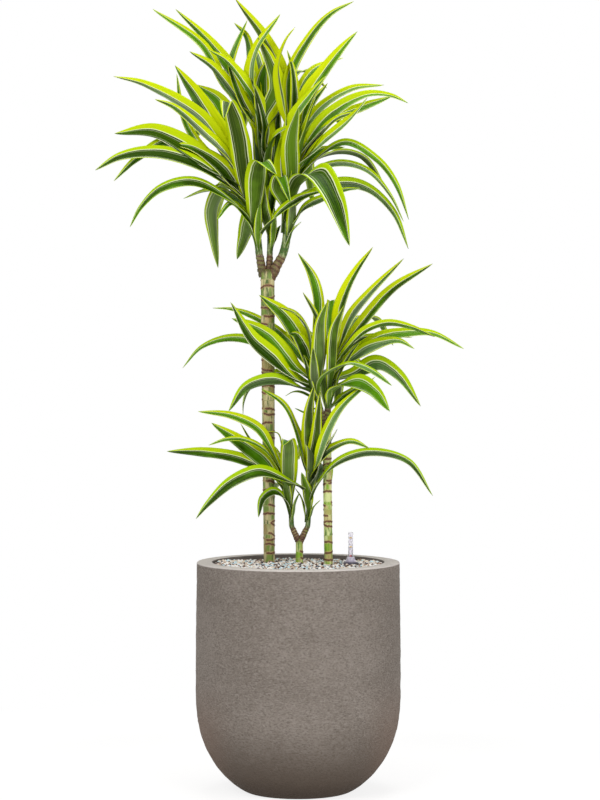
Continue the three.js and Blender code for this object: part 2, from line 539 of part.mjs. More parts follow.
function shoot(name) {
  const { axis, radius, leaves } = SHOOTS[name];
  const [root, neck, ...rest] = axis.map(sighted);
  const outward = neck.clone().sub(root).normalize();
  const start = neck.clone().addScaledVector(outward, GAP);
  const stem = [[0, 0], [radius, 0], [radius, 0.12]];
  for (const [swell, share] of [[0.7, 0.3], [1, 0.5], [1, 0.75], [0.4, 0.92]]) {
    stem.push([radius * THREE.MathUtils.lerp(1, STEM_CORE, swell), share]);
  }
  stem.push([radius * 0.7, 1], [0, 1]);
  const parts = [solidOf(sweptAlong([start, start.clone().addScaledVector(outward, 6), ...rest], stem))];
  leaves.forEach(([base, width, roll, ...route], index) => {
    const points = [axisAt(axis, base), ...route].map(sighted);
    const outwards = points[1].clone().sub(points[0]).setZ(0).normalize();
    points[0].addScaledVector(outwards, LEAF_SEAT * radius);
    parts.push(solidOf(blade(points, width, roll, 2.4 * index)));
  });
  return meshOf(name, geometryOf(fuse(parts)), "leaf");
}

// ---------------------------------------------------------------- water level gauge

function atGauge(name, profile, sides, finish) {
  const geometry = turned(profile, sides).translate(GAUGE_AT.x, GAUGE_AT.y, 0);
  return meshOf(name, geometry, finish);
}

// The buried housing: a pipe with a foot flange that carries the float.
function gaugeShaft() {
  const foot = SHAFT_FOOT;
  const top = COLLAR_FOOT - GAP;
  const hole = FLOAT_RADIUS - 2.5;
  const profile = [[hole, foot], [SHAFT_RADIUS, foot], [SHAFT_RADIUS, top], [SHAFT_BORE, top]];
  profile.push([SHAFT_BORE, foot + 3], [hole, foot + 3], [hole, foot]);
  return atGauge("gauge_shaft", profile, 14, "shaft");
}

// The flared collar on top of the shaft, with a seat for the tube.
function gaugeCollar() {
  const seat = COLLAR_FOOT + 4;
  const profile = [[TUBE_BORE, COLLAR_FOOT], [COLLAR_RADIUS, COLLAR_FOOT], [COLLAR_RADIUS, COLLAR_FOOT + 2.5]];
  profile.push([11.5, COLLAR_FOOT + 6], [8.6, COLLAR_FOOT + 11], [8, COLLAR_TOP]);
  profile.push([TUBE_RADIUS + GAP, COLLAR_TOP], [TUBE_RADIUS + GAP, seat], [TUBE_BORE, seat]);
  profile.push([TUBE_BORE, COLLAR_FOOT]);
  return atGauge("gauge_collar", profile, 16, "collar");
}

function gaugeTube() {
  const foot = COLLAR_FOOT + 4 + GAP;
  const profile = [[TUBE_BORE, foot], [TUBE_RADIUS, foot], [TUBE_RADIUS, TUBE_TOP - 0.8]];
  profile.push([TUBE_RADIUS - 0.8, TUBE_TOP], [0, TUBE_TOP], [0, TUBE_TOP - 3], [TUBE_BORE, TUBE_TOP - 3]);
  profile.push([TUBE_BORE, foot]);
  return atGauge("gauge_tube", profile, 14, "tube");
}

// The float in the shaft, its rod and the red tip that shows in the tube, in one piece.
function gaugeFloat() {
  const foot = SHAFT_FOOT + 3 + GAP;
  const head = foot + FLOAT_LENGTH;
  const profile = [[0, foot], [FLOAT_RADIUS - 1, foot], [FLOAT_RADIUS, foot + 1], [FLOAT_RADIUS, head - 1]];
  profile.push([FLOAT_RADIUS - 1, head], [FLOAT_ROD, head], [FLOAT_ROD, FLOAT_TIP_BASE]);
  profile.push([FLOAT_TIP_RADIUS, FLOAT_TIP_BASE], [FLOAT_TIP_RADIUS, FLOAT_TIP_TOP - 1]);
  profile.push([FLOAT_TIP_RADIUS - 1, FLOAT_TIP_TOP], [0, FLOAT_TIP_TOP]);
  return atGauge("gauge_float", profile, 12, "float");
}

// ---------------------------------------------------------------- the whole object

const part = new THREE.Group();
part.add(planter(), substrate());
for (const name of Object.keys(CANES)) part.add(cane(name));
for (const name of Object.keys(SHOOTS)) part.add(shoot(name));
part.add(gaugeShaft(), gaugeCollar(), gaugeTube(), gaugeFloat());

export default part;
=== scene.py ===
"""Dresses a potted dracaena: striped, lime-edged leaves on ringed canes in a clay-coloured planter.

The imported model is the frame. Each class below builds one sub-assembly in metres, where the frame has
it, and dresses it. The routes of stems and leaves are the same measured points that the model has.
"""

import bisect
import logging
import math
import random
from collections.abc import Callable, Iterable, Sequence
from dataclasses import dataclass, field
from enum import Enum

import bmesh
import bpy
from mathutils import Matrix, Quaternion, Vector, noise


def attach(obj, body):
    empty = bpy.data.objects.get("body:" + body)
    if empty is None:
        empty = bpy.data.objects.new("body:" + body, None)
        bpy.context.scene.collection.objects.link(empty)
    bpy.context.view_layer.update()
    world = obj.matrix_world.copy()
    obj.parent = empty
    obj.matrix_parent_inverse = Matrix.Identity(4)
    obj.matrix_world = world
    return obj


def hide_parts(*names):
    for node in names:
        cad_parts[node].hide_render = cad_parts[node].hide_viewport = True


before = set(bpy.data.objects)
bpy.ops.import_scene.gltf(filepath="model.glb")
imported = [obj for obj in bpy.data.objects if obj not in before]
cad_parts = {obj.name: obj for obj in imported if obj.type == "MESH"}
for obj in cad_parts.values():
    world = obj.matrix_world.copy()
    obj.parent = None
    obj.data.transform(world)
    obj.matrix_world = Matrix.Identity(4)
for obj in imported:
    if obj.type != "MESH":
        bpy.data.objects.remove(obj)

logging.basicConfig(level=logging.INFO, format="%(name)s: %(message)s")
log = logging.getLogger("dracaena")

MM = 0.001
UP = Vector((0, 0, 1))
EYE_DISTANCE = 5.53  # the routes were measured from the front, from an eye this far away
EYE_HEIGHT = 0.965

Point = tuple[float, float, float]
Socket = bpy.types.NodeSocket


# ---------------------------------------------------------------- numbers and places


def smooth(low: float, high: float, value: float) -> float:
    """Runs from 0 at low to 1 at high, with soft ends."""
    share = min(1.0, max(0.0, (value - low) / (high - low)))
    return share * share * (3 - 2 * share)


def blend(low: float, high: float, share: float) -> float:
    """The value that far on the way from low to high."""
    return low + (high - low) * share


def sighted(point: Point) -> Vector:
    """Carries a point measured from the front back to its depth.

    Args:
        point: across, depth and height in millimetres, as measured in the plane of the planter's axis.

    Returns:
        The place in metres.
    """
    across, depth, height = (value * MM for value in point)
    scale = 1 + depth / EYE_DISTANCE
    return Vector((across * scale, depth, EYE_HEIGHT + (height - EYE_HEIGHT) * scale))


class Route:
    """A smooth line through given points, walked by its own length."""

    STEPS = 24  # straight bits between two given points
    REACH = 0.004  # share of the length that a heading is taken over, to both sides

    def __init__(self, points: Sequence[Vector]) -> None:
        """Lays a centripetal Catmull-Rom line through the points.

        Args:
            points: two or more places, in order.
        """
        ends = [2 * points[0] - points[1], *points, 2 * points[-1] - points[-2]]
        self.places = [points[0].copy()]
        for before, start, stop, after in zip(ends, ends[1:], ends[2:], ends[3:]):
            pairs = ((before, start), (start, stop), (stop, after))
            k0, k1, k2 = (math.sqrt((far - near).length) for near, far in pairs)
            leave = ((start - before) / k0 - (stop - before) / (k0 + k1) + (stop - start) / k1) * k1
            arrive = ((stop - start) / k1 - (after - start) / (k1 + k2) + (after - stop) / k2) * k1
            for step in range(1, self.STEPS + 1):
                t = step / self.STEPS
                cubic = 2 * (start - stop) + leave + arrive
                square = 3 * (stop - start) - 2 * leave - arrive
                self.places.append(start + leave * t + square * t**2 + cubic * t**3)
        self.marks = [0.0]
        for start, stop in zip(self.places, self.places[1:]):
            self.marks.append(self.marks[-1] + (stop - start).length)
        self.length = self.marks[-1]

    def at(self, share: float) -> Vector:
        """The place at a share of the length, from 0 to 1."""
        mark = share * self.length
        upper = min(len(self.marks) - 1, max(1, bisect.bisect_left(self.marks, mark)))
        low, high = self.marks[upper - 1], self.marks[upper]
        return self.places[upper - 1].lerp(self.places[upper], (mark - low) / (high - low))

    def heading(self, share: float) -> Vector:
        """The direction of travel at a share of the length."""
        return (self.at(min(1, share + self.REACH)) - self.at(max(0, share - self.REACH))).normalized()


# ---------------------------------------------------------------- pieces


LIFT = "lift"  # how far up a tube its vertices lie, as a share of its length
ANGLE = "angle"  # where they lie round it


class Body(Enum):
    """The two bodies of the model that pieces ride on."""

    ROOT = "root"
    FLOAT = "float"


def stood(
    name: str, data: bpy.types.ID, place: Point = (0, 0, 0), aim: Point | None = None
) -> bpy.types.Object:
    """Stands a new object in the scene, turned towards its aim if it has one."""
    made = bpy.data.objects.new(name, data)
    made.location = place
    if aim is not None:
        made.rotation_euler = (Vector(aim) - Vector(place)).to_track_quat("-Z", "Y").to_euler()
    bpy.context.scene.collection.objects.link(made)
    return made


def refinish(node: str, material: bpy.types.Material) -> None:
    """Gives a solid of the model that stays in sight its finish."""
    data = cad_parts[node].data
    data.materials.clear()
    data.materials.append(material)


def layered(*names: str) -> bmesh.types.BMesh:
    """An empty mesh whose vertices hold a number of each name."""
    mesh = bmesh.new()
    for name in names:
        mesh.verts.layers.float.new(name)
    return mesh


def piece(
    name: str,
    mesh: bmesh.types.BMesh,
    materials: Sequence[bpy.types.Material],
    slot: str,
    stands_for: Sequence[str] = (),
    body: Body = Body.ROOT,
    smooth_faces: bool = True,
) -> bpy.types.Object:
    """Turns a bmesh into a piece of the object.

    Args:
        name: the piece's name.
        mesh: its shape, which is freed.
        materials: its finishes, by face index.
        slot: the model's material slot it belongs to; not used.
        stands_for: the model's nodes that it takes the place of.
        body: what it moves with.
        smooth_faces: whether its faces are shaded as one round surface.

    Returns:
        The piece's object, at the origin.
    """
    data = bpy.data.meshes.new(name)
    for face in mesh.faces:
        face.smooth = smooth_faces
    mesh.to_mesh(data)
    mesh.free()
    for material in materials:
        data.materials.append(material)
    made = stood(name, data)
    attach(made, body.value)
    if stands_for:
        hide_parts(*stands_for)
    log.info("%s: %d faces", name, len(data.polygons))
    return made


def spun(profile: Sequence[tuple[float, float]], steps: int, centre: Vector = Vector()) -> bmesh.types.BMesh:
    """Spins an outline about an upright axis.

    Args:
        profile: radius and height pairs, from one end to the other.
        steps: faces round the turn.
        centre: the axis' place.

    Returns:
        A bmesh whose faces point outwards.
    """
    mesh = bmesh.new()
    rows = len(profile) - 1
    for vert in bmesh.ops.create_grid(mesh, x_segments=steps, y_segments=rows, size=0.5)["verts"]:
        radius, height = profile[round((vert.co.y + 0.5) * rows)]
        angle = 2 * math.pi * (vert.co.x + 0.5)
        vert.co = centre + Vector((radius * math.cos(angle), radius * math.sin(angle), height))
    bmesh.ops.remove_doubles(mesh, verts=mesh.verts, dist=1e-6)
    bmesh.ops.recalc_face_normals(mesh, faces=mesh.faces)
    return mesh


def tube(
    mesh: bmesh.types.BMesh,
    along: Callable[[float], tuple[Vector, Vector]],
    radius: Callable[[float, float], float],
    around: int,
    rows: int,
) -> list[bmesh.types.BMVert]:
    """Adds a closed tube, made of a grid rolled up along a line.

    Args:
        mesh: where it goes, which has the layers LIFT and ANGLE.
        along: gives the place and heading at a share of its length.
        radius: gives the radius at a share of its length and an angle.
        around: faces round it.
        rows: faces along it.

    Returns:
        Its new vertices.
    """
    grid = bmesh.ops.create_grid(mesh, x_segments=around, y_segments=rows, size=0.5)["verts"]
    layers = mesh.verts.layers.float
    for vert in grid:
        share, angle = vert.co.y + 0.5, 2 * math.pi * (vert.co.x + 0.5)
        middle, heading = along(share)
        side = heading.cross(Vector((0, -1, 0))).normalized()
        front = side.cross(heading)
        ray = side * math.cos(angle) + front * math.sin(angle)
        vert[layers[LIFT]], vert[layers[ANGLE]] = share, angle
        vert.co = middle + ray * radius(share, angle)
    bmesh.ops.remove_doubles(mesh, verts=grid, dist=1e-6)
    grid = [vert for vert in grid if vert.is_valid]
    rims = [edge for edge in {e for v in grid for e in v.link_edges} if edge.is_boundary]
    bmesh.ops.holes_fill(mesh, edges=rims, sides=0)
    faces = list({face for vert in grid for face in vert.link_faces})
    bmesh.ops.recalc_face_normals(mesh, faces=faces)
    return grid


# ---------------------------------------------------------------- finishes


def tint(code: str) -> tuple[float, float, float, float]:
    """A screen colour such as "#7d756c" as the linear colour that a shader takes."""
    shares = [int(code[at : at + 2], 16) / 255 for at in (1, 3, 5)]
    linear = [share / 12.92 if share <= 0.04045 else ((share + 0.055) / 1.055) ** 2.4 for share in shares]
    return (*linear, 1.0)


class Graph:
    """Lays out one material's nodes round its shader."""

    def __init__(self, name: str, **settings: float) -> None:
        """Starts a material.

        Args:
            name: the material's name.
            settings: values of the shader's own sockets, such as roughness or specular_ior_level.
        """
        self.material = bpy.data.materials.new(name)
        self.material.use_nodes = True
        self.tree = self.material.node_tree
        self.shader = next(node for node in self.tree.nodes if node.type == "BSDF_PRINCIPLED")
        for key, value in settings.items():
            socket = next(s for s in self.shader.inputs if s.name.lower().replace(" ", "_") == key)
            socket.default_value = value
        self.place = self.node("ShaderNodeTexCoord", {}).outputs["Object"]

    def node(self, kind: str, inputs: dict, **settings: object) -> bpy.types.Node:
        """Adds a node.

        Args:
            kind: Blender's name of the node's type.
            inputs: values or sockets for its inputs, by name or number.
            settings: its own options.

        Returns:
            The node.
        """
        made = self.tree.nodes.new(kind)
        for key, value in settings.items():
            setattr(made, key, value)
        for key, value in inputs.items():
            if isinstance(value, Socket):
                self.tree.links.new(value, made.inputs[key])
            else:
                made.inputs[key].default_value = value
        return made

    def sum(self, operation: str, first: Socket | float, second: Socket | float = 0.0) -> Socket:
        """The result of one step of arithmetic."""
        return self.node("ShaderNodeMath", {0: first, 1: second}, operation=operation).outputs[0]

    def plus(self, first: Socket | float, second: Socket | float) -> Socket:
        """Two numbers added up."""
        return self.sum("ADD", first, second)

    def times(self, first: Socket | float, second: Socket | float) -> Socket:
        """One number times another."""
        return self.sum("MULTIPLY", first, second)

    def ramp(self, value: Socket, low: float, high: float, start: float = 0, stop: float = 1) -> Socket:
        """Carries a value from the range low..high softly to start..stop."""
        inputs = {"Value": value, "From Min": low, "From Max": high, "To Min": start, "To Max": stop}
        return self.node("ShaderNodeMapRange", inputs, interpolation_type="SMOOTHSTEP").outputs[0]

    def mix(self, share: Socket | float, first: Socket | str, second: Socket | str) -> Socket:
        """Mixes two colours, each a socket or a screen colour."""
        first, second = (tint(each) if isinstance(each, str) else each for each in (first, second))
        return self.node("ShaderNodeMix", {0: share, 6: first, 7: second}, data_type="RGBA").outputs[2]

    def coat(
        self, under: Socket, colour: Socket | str, value: Socket, low: float, high: float, most: float = 1
    ) -> Socket:
        """Lays a colour over another one, from none of it where the value is low to most of it at high."""
        return self.mix(self.ramp(value, low, high, 0, most), under, colour)

    def noise(self, vector: Socket, scale: float, detail: float = 2.0, rough: float = 0.5) -> Socket:
        """A cloudy pattern between 0 and 1."""
        inputs = {"Vector": vector, "Scale": scale, "Detail": detail, "Roughness": rough}
        return self.node("ShaderNodeTexNoise", inputs).outputs[0]

    def stretched(self, across: float, along: float) -> Socket:
        """The place on the piece, scaled across and along the upright axis."""
        inputs = {"Vector": self.place, "Scale": (across, across, along)}
        return self.node("ShaderNodeMapping", inputs).outputs[0]

    def vector(self, x: Socket | float, y: Socket | float, z: Socket | float) -> Socket:
        """A vector of three values."""
        return self.node("ShaderNodeCombineXYZ", {0: x, 1: y, 2: z}).outputs[0]

    def split(self, vector: Socket) -> tuple[Socket, Socket, Socket]:
        """The three values of a vector."""
        return tuple(self.node("ShaderNodeSeparateXYZ", {0: vector}).outputs)

    def reach(self) -> Socket:
        """The distance from the planter's axis."""
        across, depth, _ = self.split(self.place)
        flat = self.vector(across, depth, 0)
        return self.node("ShaderNodeVectorMath", {0: flat}, operation="LENGTH").outputs["Value"]

    def attribute(self, name: str) -> Socket:
        """A number that the mesh holds at each of its vertices."""
        return self.node("ShaderNodeAttribute", {}, attribute_name=name).outputs["Fac"]

    def blade(self) -> tuple[Socket, Socket]:
        """Where a point lies across and along its leaf, each from 0 to 1."""
        across, along, _ = self.split(self.node("ShaderNodeUVMap", {}, uv_map=Shoot.UV_NAME).outputs[0])
        return across, along

    def bump(self, height: Socket, strength: float, depth: float, under: Socket | None = None) -> Socket:
        """Turns a height pattern into fine relief, on top of another one if that is given."""
        inputs = {"Height": height, "Strength": strength, "Distance": depth}
        if under is not None:
            inputs["Normal"] = under
        return self.node("ShaderNodeBump", inputs).outputs[0]

    def finish(self, colour: Socket, relief: Socket | None = None) -> bpy.types.Material:
        """Connects the shader.

        Args:
            colour: its base colour.
            relief: its normal, if it has fine relief.

        Returns:
            The finished material.
        """
        self.tree.links.new(colour, self.shader.inputs["Base Color"])
        if relief is not None:
            self.tree.links.new(relief, self.shader.inputs["Normal"])
        return self.material


@dataclass(frozen=True)
class FiredClay:
    """The planter's rough, matt, taupe skin, with painted shade towards its foot and paler on its rim."""

    main: str = "#847b73"
    cloud: str = "#7a7169"
    # pale speckle, and a painted highlight on the ridge tops
    light: str = "#99918a"
    # painted shade in the hollows between the ridges
    painted_shade: str = "#625a52"
    # painted shade on the lower bowl, deepest at the very bottom
    foot: str = "#4f443b"
    painted_shade_sole: str = "#3a3028"
    # painted brownish reflection on the left and right of the lower bowl
    painted_warm_reflection: str = "#80685a"
    rim: str = "#d3ccc6"
    inside: str = "#6e6762"
    rim_height: float = 0.4805
    mouth_radius: float = 0.181
    inside_from: float = 0.4  # the inside's tone starts at this height, so that it stays off the bowl

    def material(self) -> bpy.types.Material:
        """Builds the material: cloudy patches, a lower bowl in painted shade, pits and small level ridges."""
        graph = Graph("fired clay", roughness=0.9, specular_ior_level=0.12)
        across, _, height = graph.split(graph.place)
        patches = graph.noise(graph.stretched(1, 1.6), 7, 4)
        speckle = graph.noise(graph.stretched(1, 1.5), 60, 2, 0.5)
        body = graph.mix(graph.ramp(patches, 0.35, 0.65), self.cloud, self.main)
        ridges = graph.noise(graph.stretched(1, 1.9), 185, 3, 0.6)
        body = graph.coat(body, self.light, speckle, 0.45, 0.7, 0.2)
        # painted highlight on the ridge tops and painted shade in the hollows between them
        body = graph.coat(body, self.light, ridges, 0.5, 0.66, 0.5)
        body = graph.coat(body, self.painted_shade, ridges, 0.48, 0.34, 0.65)
        # painted shade: the lower bowl and the bottom darken towards the floor
        body = graph.coat(body, self.foot, height, 0.19, 0.03, 0.93)
        body = graph.coat(body, self.painted_shade_sole, height, 0.05, 0.004, 0.7)
        # painted brownish reflection, on the lower bowl's left and right as seen from the front
        side = graph.sum("ABSOLUTE", across)
        low = graph.ramp(height, 0.27, 0.12)
        painted_reflection_share = graph.times(graph.ramp(side, 0.12, 0.21, 0, 0.4), low)
        body = graph.mix(painted_reflection_share, body, self.painted_warm_reflection)
        inner = graph.ramp(graph.reach(), self.mouth_radius + 0.002, self.mouth_radius)
        hollow = graph.times(inner, graph.ramp(height, self.inside_from, self.inside_from + 0.01))
        body = graph.mix(graph.ramp(height, self.rim_height, self.rim_height + 0.0025), body, self.rim)
        body = graph.mix(hollow, body, self.inside)
        return graph.finish(body, graph.bump(ridges, 1.0, 0.004))


@dataclass(frozen=True)
class Stone:
    """One tone of the mineral granulate."""

    name: str
    main: str
    other: str
    share: float

    def material(self) -> bpy.types.Material:
        """Builds the material: each stone has its own shade, with a finely pitted surface."""
        graph = Graph(f"granulate {self.name}", roughness=0.9, specular_ior_level=0.3)
        shade = graph.attribute(Granulate.SHADE)
        mottle = graph.noise(graph.place, 420, 3, 0.6)
        share = graph.plus(graph.times(shade, 0.7), graph.ramp(mottle, 0.3, 0.7, 0, 0.3))
        return graph.finish(graph.mix(share, self.main, self.other), graph.bump(mottle, 0.4, 0.0008))


@dataclass(frozen=True)
class PaintedShadeBed:
    """The granulate bed under the top stones, deep brown as painted shade in the gaps between them."""

    main: str = "#2a1f1c"
    other: str = "#65534a"

    def material(self) -> bpy.types.Material:
        """Builds the material: coarse crumbs, deep brown as painted shade."""
        graph = Graph("granulate bed", roughness=0.95, specular_ior_level=0.2)
        crumbs = graph.noise(graph.place, 190, 4, 0.65)
        colour = graph.mix(graph.ramp(crumbs, 0.45, 0.7), self.main, self.other)
        return graph.finish(colour, graph.bump(crumbs, 0.7, 0.003))


@dataclass(frozen=True)
class Bark:
    """A cane's skin: pale and green patches between brown ring scars, and brown wood at the crown."""

    name: str
    pale: str
    green: str
    deep: str
    blush: str
    scar: str = "#6e4630"
    crack: str = "#3a2117"
    wood: str = "#472c1e"
    wood_pale: str = "#6e5038"

    def material(self) -> bpy.types.Material:
        """Builds the material from the distance to the nearest scar and the share of old wood."""
        graph = Graph(f"bark {self.name}", roughness=0.62, specular_ior_level=0.4)
        gap = graph.attribute(Cane.SCAR)
        between = graph.attribute(Cane.BETWEEN)
        old = graph.attribute(Cane.WOOD)
        shift = graph.vector(0, 0, graph.times(between, 3.7))
        places = {0: graph.stretched(1, 0.13), 1: shift}
        moved = graph.node("ShaderNodeVectorMath", places, operation="ADD").outputs[0]
        patches = graph.noise(moved, 50, 3, 0.55)
        streaks = graph.noise(moved, 190, 4, 0.6)
        fine = graph.noise(graph.stretched(1, 0.5), 420, 3, 0.6)
        body = graph.mix(graph.ramp(patches, 0.44, 0.56), self.pale, self.green)
        body = graph.coat(body, self.deep, streaks, 0.5, 0.64, 0.9)
        body = graph.coat(body, self.pale, streaks, 0.42, 0.3, 0.5)
        body = graph.coat(body, self.blush, graph.noise(moved, 38, 2), 0.54, 0.68, 0.6)
        frayed = graph.plus(gap, graph.ramp(fine, 0.3, 0.7, -0.6, 0.6))
        body = graph.coat(body, self.blush, frayed, 5.2, 3.0, 0.5)
        body = graph.coat(body, self.scar, frayed, 2.6, 1.7, 0.95)
        body = graph.coat(body, self.crack, frayed, 1.1, 0.4, 0.8)
        timber = graph.mix(graph.ramp(fine, 0.35, 0.65), self.wood, self.wood_pale)
        timber = graph.coat(timber, self.deep, patches, 0.5, 0.6, 0.5)
        timber = graph.coat(timber, self.crack, frayed, 1.5, 0.6, 0.5)
        body = graph.mix(old, body, timber)
        relief = graph.bump(streaks, 0.3, 0.0012)
        relief = graph.bump(fine, 0.35, 0.0006, relief)
        return graph.finish(body, relief)


@dataclass(frozen=True)
class LeafSkin:
    """One face of a leaf: a green band with pale veins, cream lines and a lime margin."""

    name: str
    deep: str
    green: str
    vein: str
    line: str
    margin: str
    margin_young: str
    # darker green at a leaf's base: partly its greener foot, partly painted shade inside the crown
    foot: str
    roughness: float
    painted_sheen: str = "#8a9b82"  # painted grey-green sheen where a leaf arches over
    band: float = 0.72  # how far from its middle to the edge the green band reaches
    band_lost: float = 0.24  # how much narrower it is on the youngest leaves

    def material(self) -> bpy.types.Material:
        """Builds the material on the leaf's own measure across and along."""
        graph = Graph(f"leaf {self.name}", roughness=self.roughness, specular_ior_level=0.07)
        own, youth, drift = (graph.attribute(name) for name in (Shoot.OWN, Shoot.YOUTH, Shoot.DRIFT))
        across, along = graph.blade()
        place = graph.plus(graph.times(across, 2), graph.sum("SUBTRACT", drift, 1.0))
        far = graph.times(own, 40)
        waver = graph.noise(graph.vector(graph.times(along, 5), far, 0), 1, 3)
        side = graph.plus(graph.sum("ABSOLUTE", place), graph.ramp(waver, 0.2, 0.8, -0.07, 0.07))
        lost = graph.times(graph.sum("POWER", youth, 2.0), self.band_lost)
        reach = graph.sum("SUBTRACT", self.band, lost)
        beyond = graph.sum("SUBTRACT", side, reach)
        lanes = graph.vector(graph.times(across, 30), graph.times(along, 1.1), far)
        streaks = graph.noise(lanes, 1, 3, 0.6)
        fine_lanes = graph.vector(graph.times(across, 90), graph.times(along, 2), far)
        fine = graph.noise(fine_lanes, 1, 2)
        clouds = graph.noise(graph.vector(across, graph.times(along, 4), far), 1.5, 2)
        tone = graph.times(graph.sum("FRACT", graph.times(own, 7.3)), 0.5)
        band = graph.mix(graph.ramp(graph.plus(clouds, tone), 0.5, 1.0), self.deep, self.green)
        band = graph.coat(band, self.vein, streaks, 0.52, 0.72, 0.5)
        band = graph.coat(band, self.vein, fine, 0.4, 0.7, 0.25)
        # painted sheen: a grey-green reflection on the arch of the older leaves
        arch = graph.times(graph.ramp(along, 0.2, 0.5), graph.ramp(along, 0.95, 0.6))
        painted_sheen_share = graph.times(arch, graph.ramp(own, 0.55, 0.95, 0, 0.45))
        painted_sheen_share = graph.times(painted_sheen_share, graph.ramp(streaks, 0.3, 0.6, 0.45, 1))
        band = graph.mix(painted_sheen_share, band, self.painted_sheen)
        rim = graph.mix(youth, self.margin, self.margin_young)
        rim = graph.coat(rim, self.margin, streaks, 0.4, 0.7, 0.45)
        # the margin turns darker green towards the base: partly its greener foot, partly painted shade
        rim = graph.coat(rim, self.foot, along, 0.36, 0.06, 0.8)
        colour = graph.mix(graph.ramp(beyond, -0.02, 0.02), band, rim)
        line = graph.ramp(graph.sum("ABSOLUTE", beyond), 0.06, 0.02, 0, 0.9)
        colour = graph.mix(line, colour, self.line)
        inner = graph.sum("ABSOLUTE", graph.plus(beyond, 0.2))
        colour = graph.coat(colour, self.line, inner, 0.045, 0.01, 0.35)
        # painted shade over the leaf's base, inside the crown
        colour = graph.coat(colour, self.deep, along, 0.25, 0.0, 0.6)
        relief = graph.bump(fine, 0.25, 0.0006)
        relief = graph.bump(streaks, 0.3, 0.001, relief)
        return graph.finish(colour, relief)


@dataclass(frozen=True)
class StemSkin:
    """The young stem between the leaf feet: green, ringed and browned low down."""

    green: str = "#3b5a1c"
    pale: str = "#9aa672"
    brown: str = "#6a4a34"

    def material(self) -> bpy.types.Material:
        """Builds the material from the ring pattern along the stem."""
        graph = Graph("young stem", roughness=0.55, specular_ior_level=0.4)
        gap, old = graph.attribute(Cane.SCAR), graph.attribute(Cane.WOOD)
        streaks = graph.noise(graph.stretched(1, 0.2), 210, 3, 0.6)
        body = graph.mix(graph.ramp(streaks, 0.45, 0.65), self.green, self.pale)
        body = graph.mix(old, body, self.brown)
        body = graph.coat(body, self.brown, gap, 1.0, 0.4, 0.5)
        return graph.finish(body, graph.bump(streaks, 0.3, 0.001))


@dataclass(frozen=True)
class Plastic:
    """A moulded plastic of the water gauge, faintly clouded."""

    name: str
    main: str
    other: str
    roughness: float = 0.38
    metallic: float = 0.0
    clear: float = 0.0
    ior: float = 1.45
    foot: str = ""  # painted shade below a height, if it has one
    painted_shade_height: float = 0.0

    def material(self) -> bpy.types.Material:
        """Builds the material, see-through as far as it is clear."""
        settings = {"roughness": self.roughness, "metallic": self.metallic, "transmission_weight": self.clear}
        graph = Graph(self.name, ior=self.ior, **settings)
        clouds = graph.noise(graph.stretched(1, 1), 160, 3)
        colour = graph.mix(graph.ramp(clouds, 0.35, 0.65), self.main, self.other)
        # painted shade at the part's foot
        if self.foot:
            height = graph.split(graph.place)[2]
            painted_shade = graph.ramp(height, self.painted_shade_height, self.painted_shade_height - 0.004)
            colour = graph.mix(painted_shade, colour, self.foot)
        return graph.finish(colour, graph.bump(clouds, 0.1, 0.0004))


@dataclass(frozen=True)
class Paper:
    """The white floor, which glows a little so that it runs into the white surround."""

    main: str = "#8c8b8a"
    other: str = "#888786"
    glow: float = 0.82
    near: float = 0.5
    far: float = 1.4

    def material(self) -> bpy.types.Material:
        """Builds the material: faintly clouded, and all glow at a distance."""
        graph = Graph("studio paper", roughness=1.0, specular_ior_level=0.0)
        away = graph.ramp(graph.reach(), self.near, self.far)
        colour = graph.mix(graph.noise(graph.place, 3), self.main, self.other)
        graph.shader.inputs["Emission Color"].default_value = (1, 1, 1, 1)
        glow = graph.ramp(away, 0, 1, self.glow, 1)
        graph.tree.links.new(glow, graph.shader.inputs["Emission Strength"])
        return graph.finish(graph.mix(away, colour, "#000000"))


# ---------------------------------------------------------------- planter and granulate


